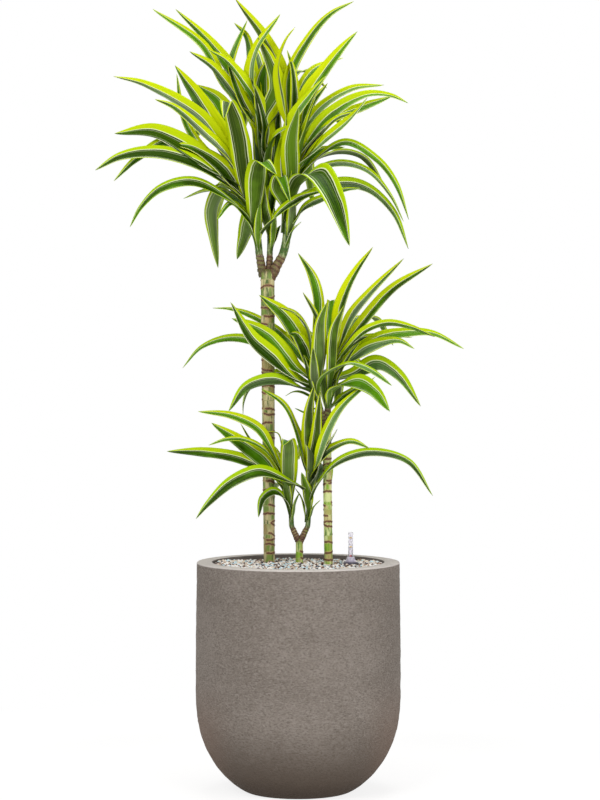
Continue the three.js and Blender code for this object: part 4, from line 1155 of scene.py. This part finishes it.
# A leaf: height of its base, full width, roll, then the points it passes, tip last.
SHOOTS = (
    Shoot(
        "shoot_tall_left",
        "cane_tall",
        8,
        ((-73, 78, 1084), (-81, 77, 1127), (-86, 73, 1170), (-102, 66, 1240), (-118, 60, 1310)),
        (
            (1298, 40, -67, (-200, 53, 1417), (-320, 48, 1489), (-388, 46, 1505)),
            (1290, 43, -54, (-145, 38, 1338), (-200, 32, 1392), (-260, 26, 1441), (-301, 23, 1457)),
            (1295, 54, -74, (-150, 86, 1360), (-178, 96, 1410), (-212, 100, 1465), (-259, 104, 1528)),
            (1270, 55, -76, (-200, 46, 1338), (-300, 32, 1391), (-386, 25, 1385)),
            (1290, 28, -38, (-200, 130, 1352), (-240, 158, 1420), (-255, 170, 1510)),
            (1300, 66, -60, (-140, 112, 1396), (-170, 142, 1456), (-216, 160, 1488)),
            (1240, 57, 0, (-126, 0, 1385), (-148, -62, 1456), (-156, -128, 1416)),
            (1240, 40, -54, (-180, 58, 1312), (-270, 50, 1370), (-340, 46, 1332), (-388, 44, 1285)),
            (1232, 43, -67, (-182, 38, 1308), (-285, 28, 1345), (-372, 22, 1338), (-427, 19, 1308)),
            (1195, 37, -44, (-130, 48, 1236), (-217, 41, 1284), (-288, 38, 1271), (-330, 37, 1232),
             (-354, 36, 1189)),
            (1225, 44, -20, (-165, 100, 1269), (-200, 122, 1267), (-241, 140, 1249)),
            (1240, 62, -20, (-148, 130, 1284), (-181, 160, 1232), (-179, 180, 1170), (-169, 196, 1103)),
            (1165, 35, -38, (-105, 62, 1208), (-140, 54, 1241), (-172, 48, 1203)),
            (1185, 54, 0, (-98, 116, 1222), (-110, 146, 1184), (-129, 158, 1121)),
            (1195, 57, 0, (-90, 14, 1280), (-80, -50, 1331), (-45, -130, 1299)),
            (1165, 35, 44, (-50, 30, 1214), (0, 10, 1250), (60, 0, 1268)),
            (1275, 48, 0, (-150, 190, 1395), (-205, 300, 1400), (-235, 370, 1330)),
            (1255, 48, 0, (-190, 150, 1326), (-258, 215, 1350), (-300, 258, 1338)),
            (1215, 48, 0, (-130, 180, 1280), (-160, 280, 1270), (-180, 335, 1180)),
            (1150, 22, 0, (-84, 52, 1200), (-80, 44, 1240)),
            (1250, 48, -64, (-160, 50, 1318), (-225, 46, 1358), (-262, 44, 1362)),
            (1215, 39, -40, (-106, 48, 1290), (-122, 33, 1370), (-130, 22, 1412)),
        ),
    ),
    Shoot(
        "shoot_tall_centre",
        "cane_tall",
        6.5,
        ((-61, 82, 1090), (-60, 88, 1126), (-59, 93, 1160), (-66, 98, 1300), (-77, 100, 1415)),
        (
            (1408, 28, -76, (-150, 100, 1484), (-200, 102, 1571), (-306, 104, 1646)),
            (1410, 36, -64, (-124, 122, 1496), (-184, 132, 1576), (-258, 140, 1646)),
            (1395, 41, -64, (-140, 86, 1482), (-180, 80, 1528), (-228, 76, 1557)),
            (1350, 45, -64, (-80, 78, 1440), (-112, 69, 1497), (-150, 64, 1540), (-187, 61, 1560)),
            (1412, 42, -76, (-150, 142, 1500), (-139, 152, 1548), (-107, 160, 1623)),
            (1412, 35, -76, (-98, 158, 1535), (-108, 168, 1588), (-135, 174, 1617)),
            (1412, 41, 70, (-34, 112, 1500), (-65, 120, 1580), (-133, 128, 1669)),
            (1395, 38, -51, (-115, 89, 1455), (-138, 82, 1510), (-150, 78, 1552)),
            (1400, 52, 66, (-104, 76, 1490), (-92, 72, 1560), (-38, 68, 1635)),
            (1410, 48, 66, (-44, 84, 1480), (-60, 82, 1540), (-85, 80, 1588)),
            (1390, 58, 10, (-78, 112, 1450), (-76, 126, 1500), (-64, 142, 1542)),
            (1400, 38, 10, (-40, 90, 1440), (-36, 94, 1480), (-33, 98, 1520)),
            (1155, 15, 51, (-46, 86, 1178), (-37, 90, 1193)),
            (1405, 48, 0, (-85, 190, 1510), (-95, 290, 1560), (-100, 370, 1520)),
            (1380, 48, 0, (-40, 180, 1470), (10, 260, 1520), (60, 330, 1480)),
            (1360, 48, 0, (-95, 200, 1430), (-110, 290, 1440), (-120, 350, 1370)),
            (1140, 18, 0, (-52, 70, 1190), (-50, 62, 1230)),
            (1190, 32, 0, (-70, 62, 1226), (-74, 52, 1290)),
            (1210, 42, 10, (-54, 80, 1290), (-46, 96, 1370), (-42, 112, 1446)),
            (1240, 52, -10, (-76, 92, 1330), (-84, 116, 1400), (-108, 140, 1470)),
            (1300, 42, 60, (-66, 50, 1350), (-50, 8, 1384), (-14, -26, 1404)),
            (1330, 43, -74, (-62, 83, 1400), (-80, 79, 1460), (-100, 77, 1504)),
        ),
    ),
    Shoot(
        "shoot_tall_right",
        "cane_tall",
        9,
        (
            (-59, 76, 1081), (-36, 72, 1124), (-26, 64, 1156),
            (-20, 56, 1230), (-12, 52, 1320), (-12, 50, 1380),
        ),
        (
            (1372, 40, 76, (-38, 40, 1450), (-46, 37, 1525), (-28, 34, 1580), (-7, 33, 1608)),
            (1375, 28, 76, (-20, 78, 1499), (24, 92, 1587), (68, 98, 1636), (117, 102, 1662)),
            (1375, 35, 20, (-6, 66, 1470), (-11, 78, 1520), (-23, 90, 1560)),
            (1370, 43, 70, (15, 40, 1458), (54, 34, 1518), (94, 30, 1568), (124, 28, 1599)),
            (1370, 41, 20, (0, 84, 1465), (34, 112, 1522), (94, 142, 1544)),
            (1275, 43, 76, (-18, 28, 1405), (22, 20, 1465), (58, 12, 1506)),
            (1350, 32, 38, (22, 92, 1440), (62, 116, 1491)),
            (1365, 37, 51, (40, 66, 1436), (110, 62, 1480), (180, 60, 1487)),
            (1330, 41, 58, (30, 40, 1390), (80, 32, 1438), (145, 27, 1469), (195, 25, 1466), (231, 23, 1449)),
            (1345, 41, 51, (60, 84, 1412), (130, 98, 1440), (197, 106, 1463)),
            (1310, 38, 58, (40, 9, 1362), (110, -23, 1420), (145, -40, 1460)),
            (1320, 45, 51, (40, 27, 1380), (80, 10, 1418), (122, -6, 1430)),
            (1275, 26, 51, (40, 42, 1336), (100, 37, 1368), (166, 32, 1332), (205, 30, 1282),
             (233, 29, 1204)),
            (1265, 33, 38, (50, 88, 1316), (100, 96, 1324), (150, 104, 1306), (194, 110, 1256),
             (222, 114, 1200)),
            (1232, 40, 50, (30, 84, 1262), (90, 92, 1283), (150, 100, 1270), (202, 110, 1220),
             (232, 118, 1143)),
            (1240, 68, 25, (4, -4, 1298), (38, -50, 1311), (77, -108, 1251), (108, -140, 1149)),
            (1185, 28, 51, (10, 44, 1230), (50, 40, 1250), (98, 37, 1268), (132, 34, 1270)),
            (1290, 32, 38, (38, 76, 1348), (98, 90, 1357)),
            (1160, 16, 38, (-14, 40, 1182), (6, 30, 1200)),
            (1290, 49, 0, (-16, -14, 1370), (0, -88, 1440)),
            (1320, 41, 38, (12, 10, 1400), (36, -17, 1461)),
            (1340, 48, 0, (28, 150, 1424), (70, 240, 1432), (92, 310, 1398)),
            (1300, 48, 0, (66, 150, 1348), (134, 220, 1338), (184, 270, 1272)),
            (1270, 48, 0, (10, 180, 1330), (20, 280, 1320), (30, 340, 1230)),
            (1225, 43, 0, (40, 150, 1270), (76, 220, 1244), (96, 262, 1186)),
            (1180, 29, 0, (-12, 44, 1240), (-4, 36, 1286)),
            (1234, 37, 0, (-46, 14, 1276), (-38, -14, 1298), (-16, -46, 1240)),
            (1240, 51, 60, (-32, 40, 1320), (-16, 50, 1390), (30, 60, 1456)),
        ),
    ),
    Shoot(
        "shoot_middle_left",
        "cane_middle",
        7,
        ((57, 21, 764), (48, 20, 798), (39, 19, 840), (42, 19, 930)),
        (
            (922, 52, 10, (45, 49, 985), (42, 60, 1040), (28, 70, 1090), (0, 76, 1134)),
            (925, 32, -20, (50, -6, 965), (37, -24, 1008), (10, -44, 1052)),
            (895, 42, -38, (26, 2, 970), (0, -16, 1006), (-44, -38, 1022)),
            (900, 54, -51, (8, 36, 950), (-30, 42, 1006), (-82, 46, 1046)),
            (875, 46, -20, (18, 8, 925), (-2, 12, 962), (-24, 54, 966)),
            (860, 50, -64, (-8, 14, 900), (-60, 8, 958), (-100, 4, 982), (-140, 2, 997)),
            (840, 46, -72, (0, -1, 868), (-45, -22, 910), (-95, -42, 955), (-142, -56, 1031)),
            (835, 33, -61, (0, -5, 855), (-50, -21, 870), (-108, -38, 854), (-147, -45, 801)),
            (870, 31, -38, (-40, 120, 968), (-100, 136, 1004), (-140, 144, 1017), (-180, 150, 1019)),
            (855, 31, -51, (-40, 120, 922), (-95, 132, 950), (-150, 140, 956), (-205, 145, 936),
             (-244, 148, 892)),
            (845, 42, -38, (-50, 112, 880), (-104, 132, 852), (-117, 138, 820), (-117, 140, 793)),
            (825, 15, -20, (8, 40, 842), (-12, 50, 843), (-27, 56, 834)),
            (808, 13, -20, (18, 40, 799), (-7, 52, 808)),
            (840, 28, 0, (34, -24, 885), (31, -46, 936)),
            (830, 29, 25, (50, -24, 874), (105, -76, 904), (152, -108, 889), (198, -132, 855)),
            (880, 42, 0, (20, 150, 960), (0, 240, 970), (-20, 300, 900)),
            (850, 42, 0, (40, 130, 890), (50, 220, 880), (60, 280, 800)),
            (860, 42, 0, (44, -4, 930), (48, -30, 990), (60, -50, 1030)),
            (820, 34, -20, (26, 0, 870), (12, -16, 920)),
            (900, 30, -60, (40, 30, 950), (37, 40, 985), (34, 44, 1008)),
        ),
    ),
    Shoot(
        "shoot_middle_right",
        "cane_middle",
        7,
        ((58, 23, 764), (62, 27, 802), (68, 30, 870), (74, 32, 935)),
        (
            (925, 33, 70, (81, 22, 1000), (97, 16, 1054), (122, 14, 1100), (157, 12, 1147)),
            (925, 26, 70, (107, 36, 998), (150, 36, 1052), (222, 36, 1123)),
            (915, 33, 70, (138, 48, 996), (197, 54, 1060), (283, 58, 1112)),
            (890, 38, 51, (110, 60, 922), (170, 72, 957), (230, 75, 968), (285, 77, 966), (349, 78, 933)),
            (900, 26, 54, (108, 14, 944), (145, 8, 976), (190, 5, 989), (240, 3, 979), (288, 2, 958)),
            (880, 46, 38, (118, 40, 920), (165, 36, 944), (212, 34, 951), (245, 34, 933)),
            (885, 32, 20, (110, 90, 945), (165, 104, 962), (240, 112, 957)),
            (860, 56, 51, (122, 72, 884), (168, 76, 905), (212, 78, 879), (258, 80, 812)),
            (835, 47, 51, (88, 11, 858), (123, -1, 866), (160, -12, 845), (193, -20, 801)),
            (805, 28, 38, (88, 56, 828), (135, 72, 858)),
            (815, 25, 10, (66, 4, 846), (88, -2, 859)),
            (920, 39, 0, (68, 66, 985), (70, 84, 1037), (68, 122, 1020)),
            (900, 42, 0, (110, 130, 990), (160, 200, 1000), (200, 250, 940)),
            (870, 42, 0, (100, 150, 916), (126, 230, 900), (140, 276, 856)),
            (840, 37, 0, (80, 130, 866), (84, 190, 850), (80, 228, 800)),
            (905, 39, 0, (70, 150, 990), (74, 230, 1028), (84, 300, 1020)),
            (850, 42, 20, (70, 4, 920), (78, -20, 980), (96, -34, 1024)),
            (830, 32, 40, (84, 22, 880), (110, 16, 926), (132, 11, 950)),
        ),
    ),
    Shoot(
        "shoot_short_left",
        "cane_short",
        5.5,
        ((0, 57, 528), (-11, 57, 553), (-15, 57, 585), (-20, 56, 640), (-25, 54, 675)),
        (
            (618, 37, -61, (-55, 44, 670), (-120, 37, 702), (-200, 33, 715), (-277, 31, 717)),
            (660, 34, -56, (-60, 40, 733), (-86, 38, 768), (-140, 34, 793), (-211, 32, 801)),
            (630, 46, -76, (-60, 46, 688), (-105, 44, 724), (-183, 42, 777)),
            (640, 28, -38, (-60, 30, 712), (-110, 11, 742), (-150, 1, 743), (-189, -7, 730)),
            (635, 28, 0, (-42, 118, 690), (-95, 128, 735), (-121, 134, 775)),
            (625, 46, 0, (-19, 14, 685), (-20, -36, 743), (-32, -92, 730)),
            (655, 21, 0, (-32, 60, 728), (-42, 56, 756), (-67, 52, 759)),
            (585, 25, -51, (-28, 45, 620), (-50, 32, 634), (-75, 21, 618), (-84, 14, 577)),
            (580, 12, 10, (-8, 44, 606), (2, 38, 630)),
            (650, 37, 0, (-58, 140, 724), (-86, 220, 728), (-108, 270, 690)),
            (620, 37, 0, (-34, 150, 655), (-54, 220, 640), (-62, 258, 586)),
            (665, 37, 0, (-10, 140, 716), (-4, 220, 732), (2, 280, 700)),
            (610, 32, -20, (-30, 34, 680), (-36, 20, 730)),
        ),
    ),
    Shoot(
        "shoot_short_right",
        "cane_short",
        5.5,
        ((5, 57, 528), (17, 57, 553), (22, 57, 590), (25, 56, 650), (27, 54, 700)),
        (
            (655, 30, 70, (38, -8, 700), (60, -20, 762), (90, -10, 812), (162, 16, 874)),
            (600, 39, -45, (12, 30, 636), (-22, -8, 658), (-80, -46, 676), (-140, -70, 653),
             (-190, -88, 607), (-216, -96, 574)),
            (655, 34, -64, (14, 27, 700), (0, 11, 758), (-30, -1, 817), (-78, -11, 849)),
            (690, 37, 0, (21, -4, 760), (24, -34, 810), (34, -60, 857)),
            (690, 32, 0, (37, -4, 745), (41, -36, 795), (46, -66, 842)),
            (660, 37, 45, (43, -4, 702), (74, -18, 727), (112, -14, 739), (150, -10, 724)),
            (595, 28, 45, (40, 8, 648), (80, -16, 694), (150, -14, 716), (232, -14, 697), (284, -14, 623)),
            (585, 12, -10, (8, 54, 618), (-6, 60, 639)),
            (598, 27, 0, (21, 32, 628), (13, 12, 655), (7, 0, 673)),
            (580, 15, 20, (31, 44, 600), (46, 38, 614)),
            (680, 37, 0, (32, 140, 756), (32, 220, 768), (36, 280, 730)),
            (640, 37, 0, (54, 120, 690), (62, 190, 682), (64, 230, 622)),
            (620, 32, 20, (28, 30, 700), (22, 10, 760), (30, 4, 800)),
            (640, 36, 60, (50, -12, 712), (82, -34, 764)),
        ),
    ),
)


# ---------------------------------------------------------------- water gauge


@dataclass
class WaterGauge:
    """A water level gauge: a clear tube in a collar, with a red tip that rises with its float."""

    centre: Vector = field(default_factory=lambda: Vector((0.111, 0.018, 0)))
    tube_radius: float = 0.00505
    bore: float = 0.004
    tube_top: float = 0.545
    collar_foot: float = 0.478
    collar_top: float = 0.493
    collar_radius: float = 0.0155
    gap: float = 0.0003
    shaft_foot: float = 0.084
    float_radius: float = 0.0065
    float_length: float = 0.070
    rod: float = 0.0014
    tip_radius: float = 0.0031
    tip_base: float = 0.489
    tip_top: float = 0.4975
    marks: tuple[float, ...] = (0.533, 0.514)
    steps: int = 48

    def build_collar(self) -> bpy.types.Object:
        """Spins the flared collar and rounds its edges."""
        foot, seat = self.collar_foot, self.collar_foot + 0.004
        outline = [(self.bore, foot), (self.collar_radius, foot), (self.collar_radius, foot + 0.0025)]
        outline += [(0.0140, foot + 0.0036), (0.0115, foot + 0.006), (0.0096, foot + 0.0088)]
        outline += [(0.0086, foot + 0.0115), (0.008, self.collar_top)]
        outline += [(self.tube_radius + self.gap, self.collar_top), (self.tube_radius + self.gap, seat)]
        outline += [(self.bore, seat), (self.bore, foot)]
        mesh = spun(outline, self.steps, self.centre)
        # painted shade on the collar's foot ring
        painted_shade = {"foot": "#4a4553", "painted_shade_height": foot + 0.007}
        plastic = Plastic("collar plastic", "#c9c3d0", "#a29bae", 0.36, **painted_shade)
        made = piece("gauge_collar_flare", mesh, [plastic.material()], "gauge_collar", ["gauge_collar"])
        edge = made.modifiers.new("edges", "BEVEL")
        edge.width, edge.segments, edge.limit_method = 0.0005, 2, "ANGLE"
        return made

    def build_tube(self) -> bpy.types.Object:
        """Spins the clear tube with its closed, rounded top."""
        foot = self.collar_foot + 0.004 + self.gap
        outline = [(self.bore, foot), (self.tube_radius, foot), (self.tube_radius, self.tube_top - 0.0008)]
        outline += [(self.tube_radius - 0.0008, self.tube_top), (0.0, self.tube_top)]
        outline += [(0.0, self.tube_top - 0.003), (self.bore, self.tube_top - 0.003), (self.bore, foot)]
        mesh = spun(outline, self.steps, self.centre)
        plastic = Plastic("clear plastic", "#f6f4f8", "#eeebf1", 0.12, clear=0.85, ior=1.12)
        return piece("gauge_clear_tube", mesh, [plastic.material()], "gauge_tube", ["gauge_tube"])

    def build_marks(self) -> bpy.types.Object:
        """Bends two gold bands round the front of the tube, for the lowest and highest level."""
        mesh = bmesh.new()
        radius, height, reach = self.tube_radius + 0.00012, 0.0022, math.radians(62)
        for level in self.marks:
            grid = bmesh.ops.create_grid(mesh, x_segments=16, y_segments=1, size=0.5)["verts"]
            for vert in grid:
                angle = vert.co.x * reach - math.pi / 2
                rise = level + vert.co.y * height
                vert.co = self.centre + Vector((radius * math.cos(angle), radius * math.sin(angle), rise))
        bmesh.ops.recalc_face_normals(mesh, faces=mesh.faces)
        gold = Plastic("gold print", "#e0b93e", "#c99c26", 0.32, metallic=0.35)
        made = piece("gauge_level_marks", mesh, [gold.material()], "gauge_tube")
        solid = made.modifiers.new("thickness", "SOLIDIFY")
        solid.thickness, solid.offset = 0.0001, 0
        return made

    def build_float(self) -> bpy.types.Object:
        """Spins the float, its rod and the red tip, which move as one."""
        foot = self.shaft_foot + 0.003 + self.gap
        head = foot + self.float_length
        outline = [(0.0, foot), (self.float_radius - 0.001, foot), (self.float_radius, foot + 0.001)]
        outline += [(self.float_radius, head - 0.001), (self.float_radius - 0.001, head), (self.rod, head)]
        outline += [(self.rod, self.tip_base), (self.tip_radius, self.tip_base)]
        outline += [(self.tip_radius, self.tip_top - 0.001), (self.tip_radius - 0.001, self.tip_top)]
        outline.append((0.0, self.tip_top))
        mesh = spun(outline, self.steps, self.centre)
        red = Plastic("float red", "#d2321a", "#b8260f", 0.34)
        return piece("gauge_red_float", mesh, [red.material()], "gauge_float", ["gauge_float"], Body.FLOAT)

    def dress_shaft(self) -> None:
        """Gives the buried housing its plastic."""
        refinish("gauge_shaft", Plastic("housing plastic", "#7c7684", "#6b6573", 0.5).material())

    def build(self) -> None:
        """Builds the gauge from its collar up."""
        self.build_collar()
        self.build_tube()
        self.build_marks()
        self.build_float()
        self.dress_shaft()


# ---------------------------------------------------------------- studio


@dataclass(frozen=True)
class Lamp:
    """A soft square light that points at the plant."""

    name: str
    place: Point
    aim: Point
    size: float
    power: float

    def hang(self) -> None:
        """Hangs the light and turns it to its aim."""
        data = bpy.data.lights.new(self.name, "AREA")
        data.shape, data.size, data.energy = "SQUARE", self.size, self.power
        stood(self.name, data, self.place, self.aim)


@dataclass
class Studio:
    """A pale floor, soft lights, a white surround and the camera."""

    eye: Point = (0.0038, -EYE_DISTANCE, EYE_HEIGHT)
    aim: Point = (0.0038, 0.0, 0.825)
    lens: float = 118.2
    floor_radius: float = 60.0
    ambient: float = 0.34
    lamps: Sequence[Lamp] = (
        Lamp("key light", (-1.7, -3.0, 2.8), (0, 0, 1.0), 1.8, 67),
        Lamp("fill light", (2.2, -3.4, 1.6), (0, 0, 0.8), 2.2, 71),
        Lamp("top light", (0.1, 0.3, 3.5), (0, 0, 1.2), 1.6, 45),
    )

    def build_camera(self) -> None:
        """Places the camera where the photograph was taken."""
        data = bpy.data.cameras.new("camera")
        data.lens, data.sensor_width, data.clip_end = self.lens, 36.0, 100
        bpy.context.scene.camera = stood("camera", data, self.eye, self.aim)

    def build_floor(self) -> None:
        """Lays the floor under the planter."""
        mesh = bmesh.new()
        bmesh.ops.create_circle(mesh, cap_ends=True, segments=96, radius=self.floor_radius)
        data = bpy.data.meshes.new("floor")
        mesh.to_mesh(data)
        mesh.free()
        data.materials.append(Paper().material())
        stood("floor", data)

    def build_surround(self) -> None:
        """Makes the surround white, also where it is mirrored, and softer as a light."""
        world = bpy.data.worlds.new("surround")
        world.use_nodes = True
        bpy.context.scene.world = world
        nodes, links = world.node_tree.nodes, world.node_tree.links
        path = nodes.new("ShaderNodeLightPath")
        direct = nodes.new("ShaderNodeMath")
        direct.operation = "MAXIMUM"
        links.new(path.outputs["Is Camera Ray"], direct.inputs[0])
        links.new(path.outputs["Is Glossy Ray"], direct.inputs[1])
        strength = nodes.new("ShaderNodeMapRange")
        links.new(direct.outputs[0], strength.inputs["Value"])
        strength.inputs["To Min"].default_value = self.ambient
        strength.inputs["To Max"].default_value = 1.0
        background = next(node for node in nodes if node.type == "BACKGROUND")
        background.inputs["Color"].default_value = (1, 1, 1, 1)
        links.new(strength.outputs[0], background.inputs["Strength"])

    def build(self) -> None:
        """Sets up everything that isn't the object."""
        bpy.context.scene.view_settings.view_transform = "Standard"
        self.build_camera()
        self.build_floor()
        self.build_surround()
        for lamp in self.lamps:
            lamp.hang()


# ---------------------------------------------------------------- the whole


def main() -> None:
    """Builds the plant, its planter and the studio."""
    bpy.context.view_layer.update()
    Studio().build()
    log.info("studio ready")
    Planter().build()
    gauge = WaterGauge()
    standing = [(cane.base, max(cane.radii) * MM) for cane in CANES]
    Granulate(keep_off=[*standing, (gauge.centre, gauge.collar_radius - 0.002)]).build()
    for cane in CANES:
        cane.build(shoot for shoot in SHOOTS if shoot.cane == cane.name)
    skins = [FACE.material(), BACK.material()]
    stem = StemSkin().material()
    for shoot in SHOOTS:
        shoot.build_stem(stem)
        shoot.build_leaves(skins)
    gauge.build()
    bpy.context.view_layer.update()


if __name__ == "__main__":
    main()
